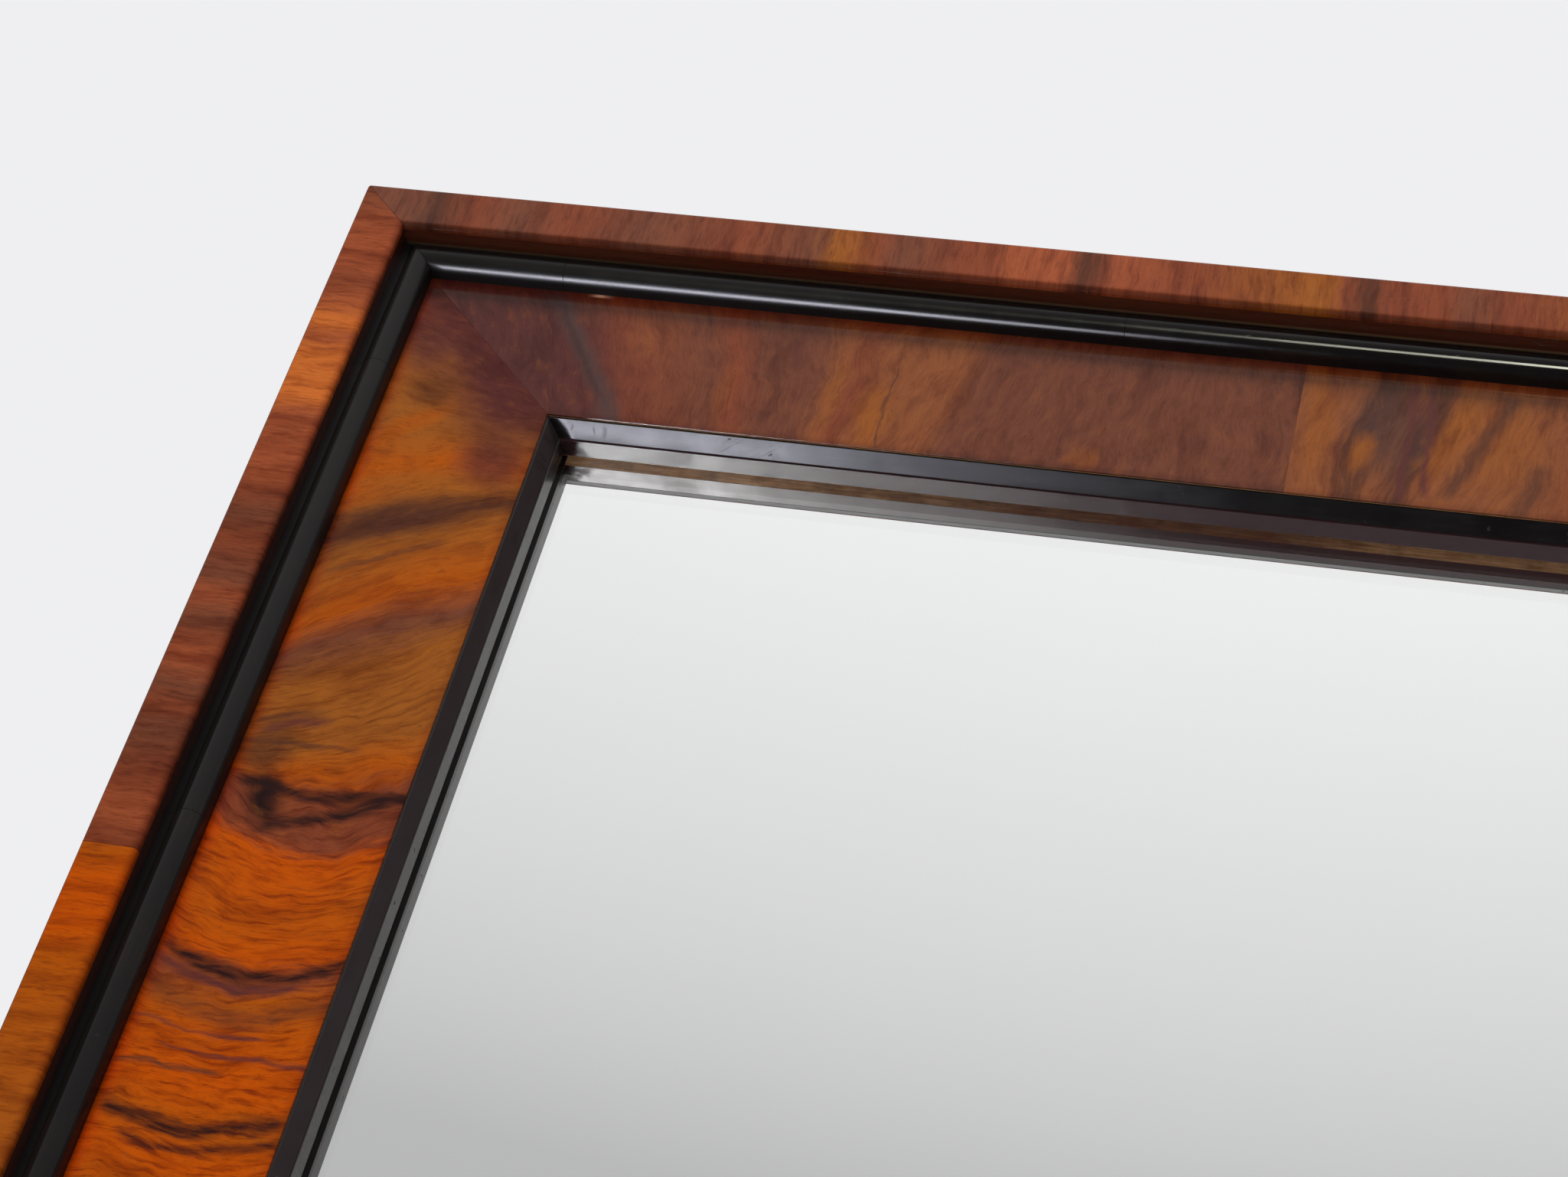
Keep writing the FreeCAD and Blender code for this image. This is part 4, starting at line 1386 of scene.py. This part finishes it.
def surroundings(stage):
    """The pale background, and how polish and glass see the room around."""
    world = bpy.data.worlds.new("surroundings")
    bpy.context.scene.world = world
    world.use_nodes = True
    tree = Tree(world.node_tree)
    x, y, z = tree.wire("ShaderNodeTexCoord", output="Generated").parts()
    shades = [(place, (shade,) * 3) for place, shade in SURROUND_SHADES]
    room = (x * SURROUND_TILT + z).spread(-1, 1).ramp(shades)
    mirrored, plain, light = (
        tree.wire("ShaderNodeBackground", {"Color": tone, "Strength": strength})
        for tone, strength in ((room, 1), (tuple(stage.background), 1), (WHITE, stage.surround)))
    path = tree.node("ShaderNodeLightPath").outputs
    camera, glossy, through = (Wire(tree, path["Is " + ray + " Ray"])
                               for ray in ("Camera", "Glossy", "Transmission"))
    seen = tree.wire("ShaderNodeMixShader", {0: glossy.at_least(through), 1: light, 2: mirrored})
    both = tree.wire("ShaderNodeMixShader", {0: camera, 1: seen, 2: plain})
    tree.node("ShaderNodeOutputWorld", {"Surface": both})


def lay_floor(stage):
    """A plain pale floor under the hanging mirror."""
    mesh = bmesh.new()
    bmesh.ops.create_grid(mesh, x_segments=24, y_segments=24, size=FLOOR_REACH)
    floor = finished("studio_floor", mesh)
    floor.location = (CENTRE.x, BACK, -stage.floor_drop)
    pale = Finish("studio floor", linear(208, 208, 210))
    pale.cover(pale.place.noise(2, 3, 0.5), linear(214, 214, 216))
    distance = pale.wire("ShaderNodeVectorMath", {0: pale.place}, "Value", operation="LENGTH")
    pale.cover(distance.spread(3.5, 7, smooth=True), linear(246, 246, 248))
    floor.data.materials.append(pale.done(Roughness=0.9))
    floor.visible_glossy = False
    floor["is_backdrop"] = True


class MIRROR_OT_stage(bpy.types.Operator):
    """Set the camera, the lamps, the pale surroundings and the floor"""
    bl_idname = "mirror.stage"
    bl_label = "Stage"

    def execute(self, context):
        stage = context.scene.mirror_stage
        place_camera()
        surroundings(stage)
        lay_floor(stage)
        for name, place, power in (("key_lamp", KEY_LAMP, stage.key_power),
                                   ("back_lamp", BACK_LAMP, stage.back_power)):
            lamp = place_lamp(name, place, CENTRE, LAMP_SIZE, LAMP_SIZE, power)
            lamp.visible_glossy = name == "back_lamp"
            lamp.visible_transmission = False
        powers = {"low": stage.low_power, "side": stage.side_power, "front": stage.front_power}
        for name, place, way, width, height, share, tone, pieces in REFLECTORS:
            power = powers[name.split("_")[0]] * share
            lamp = place_lamp(name, place, Vector(place) + Vector(way), width, height, power, tone)
            lamp.visible_transmission = name.startswith("side")
            mirrored_by(lamp, pieces)
        context.scene.view_settings.view_transform = "Standard"
        return {"FINISHED"}


OPERATORS = (MIRROR_OT_facings, MIRROR_OT_beads, MIRROR_OT_panels, MIRROR_OT_slips, MIRROR_OT_carcase,
             MIRROR_OT_glazing, MIRROR_OT_back, MIRROR_OT_stage)
GROUPS = {"mirror_sizes": MirrorSizes, "mirror_colours": MirrorColours, "mirror_stage": MirrorStage}


class MIRROR_PT_panel(bpy.types.Panel):
    """The mirror's pieces and the values behind them"""
    bl_idname = "MIRROR_PT_panel"
    bl_label = "Wall mirror"
    bl_space_type = "VIEW_3D"
    bl_region_type = "UI"
    bl_category = "Mirror"

    def draw(self, context):
        for operator in OPERATORS:
            self.layout.operator(operator.bl_idname)
        for label, group in GROUPS.items():
            box = self.layout.box()
            for name in group.__annotations__:
                box.prop(getattr(context.scene, label), name)


def register():
    for label, group in GROUPS.items():
        bpy.utils.register_class(group)
        setattr(bpy.types.Scene, label, PointerProperty(type=group))
    for kind in (*OPERATORS, MIRROR_PT_panel):
        bpy.utils.register_class(kind)


def unregister():
    for kind in (MIRROR_PT_panel, *reversed(OPERATORS)):
        bpy.utils.unregister_class(kind)
    for label, group in GROUPS.items():
        delattr(bpy.types.Scene, label)
        bpy.utils.unregister_class(group)


def main():
    register()
    bpy.ops.mirror.facings()
    bpy.ops.mirror.beads()
    bpy.ops.mirror.panels()
    bpy.ops.mirror.slips()
    bpy.ops.mirror.carcase()
    bpy.ops.mirror.glazing()
    bpy.ops.mirror.back()
    bpy.ops.mirror.stage()
    low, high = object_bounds()
    boxes = {"cad": [list(CAD_LOW), list(CAD_HIGH)], "visual": [list(low), list(high)]}


if __name__ == "__main__":
    main()
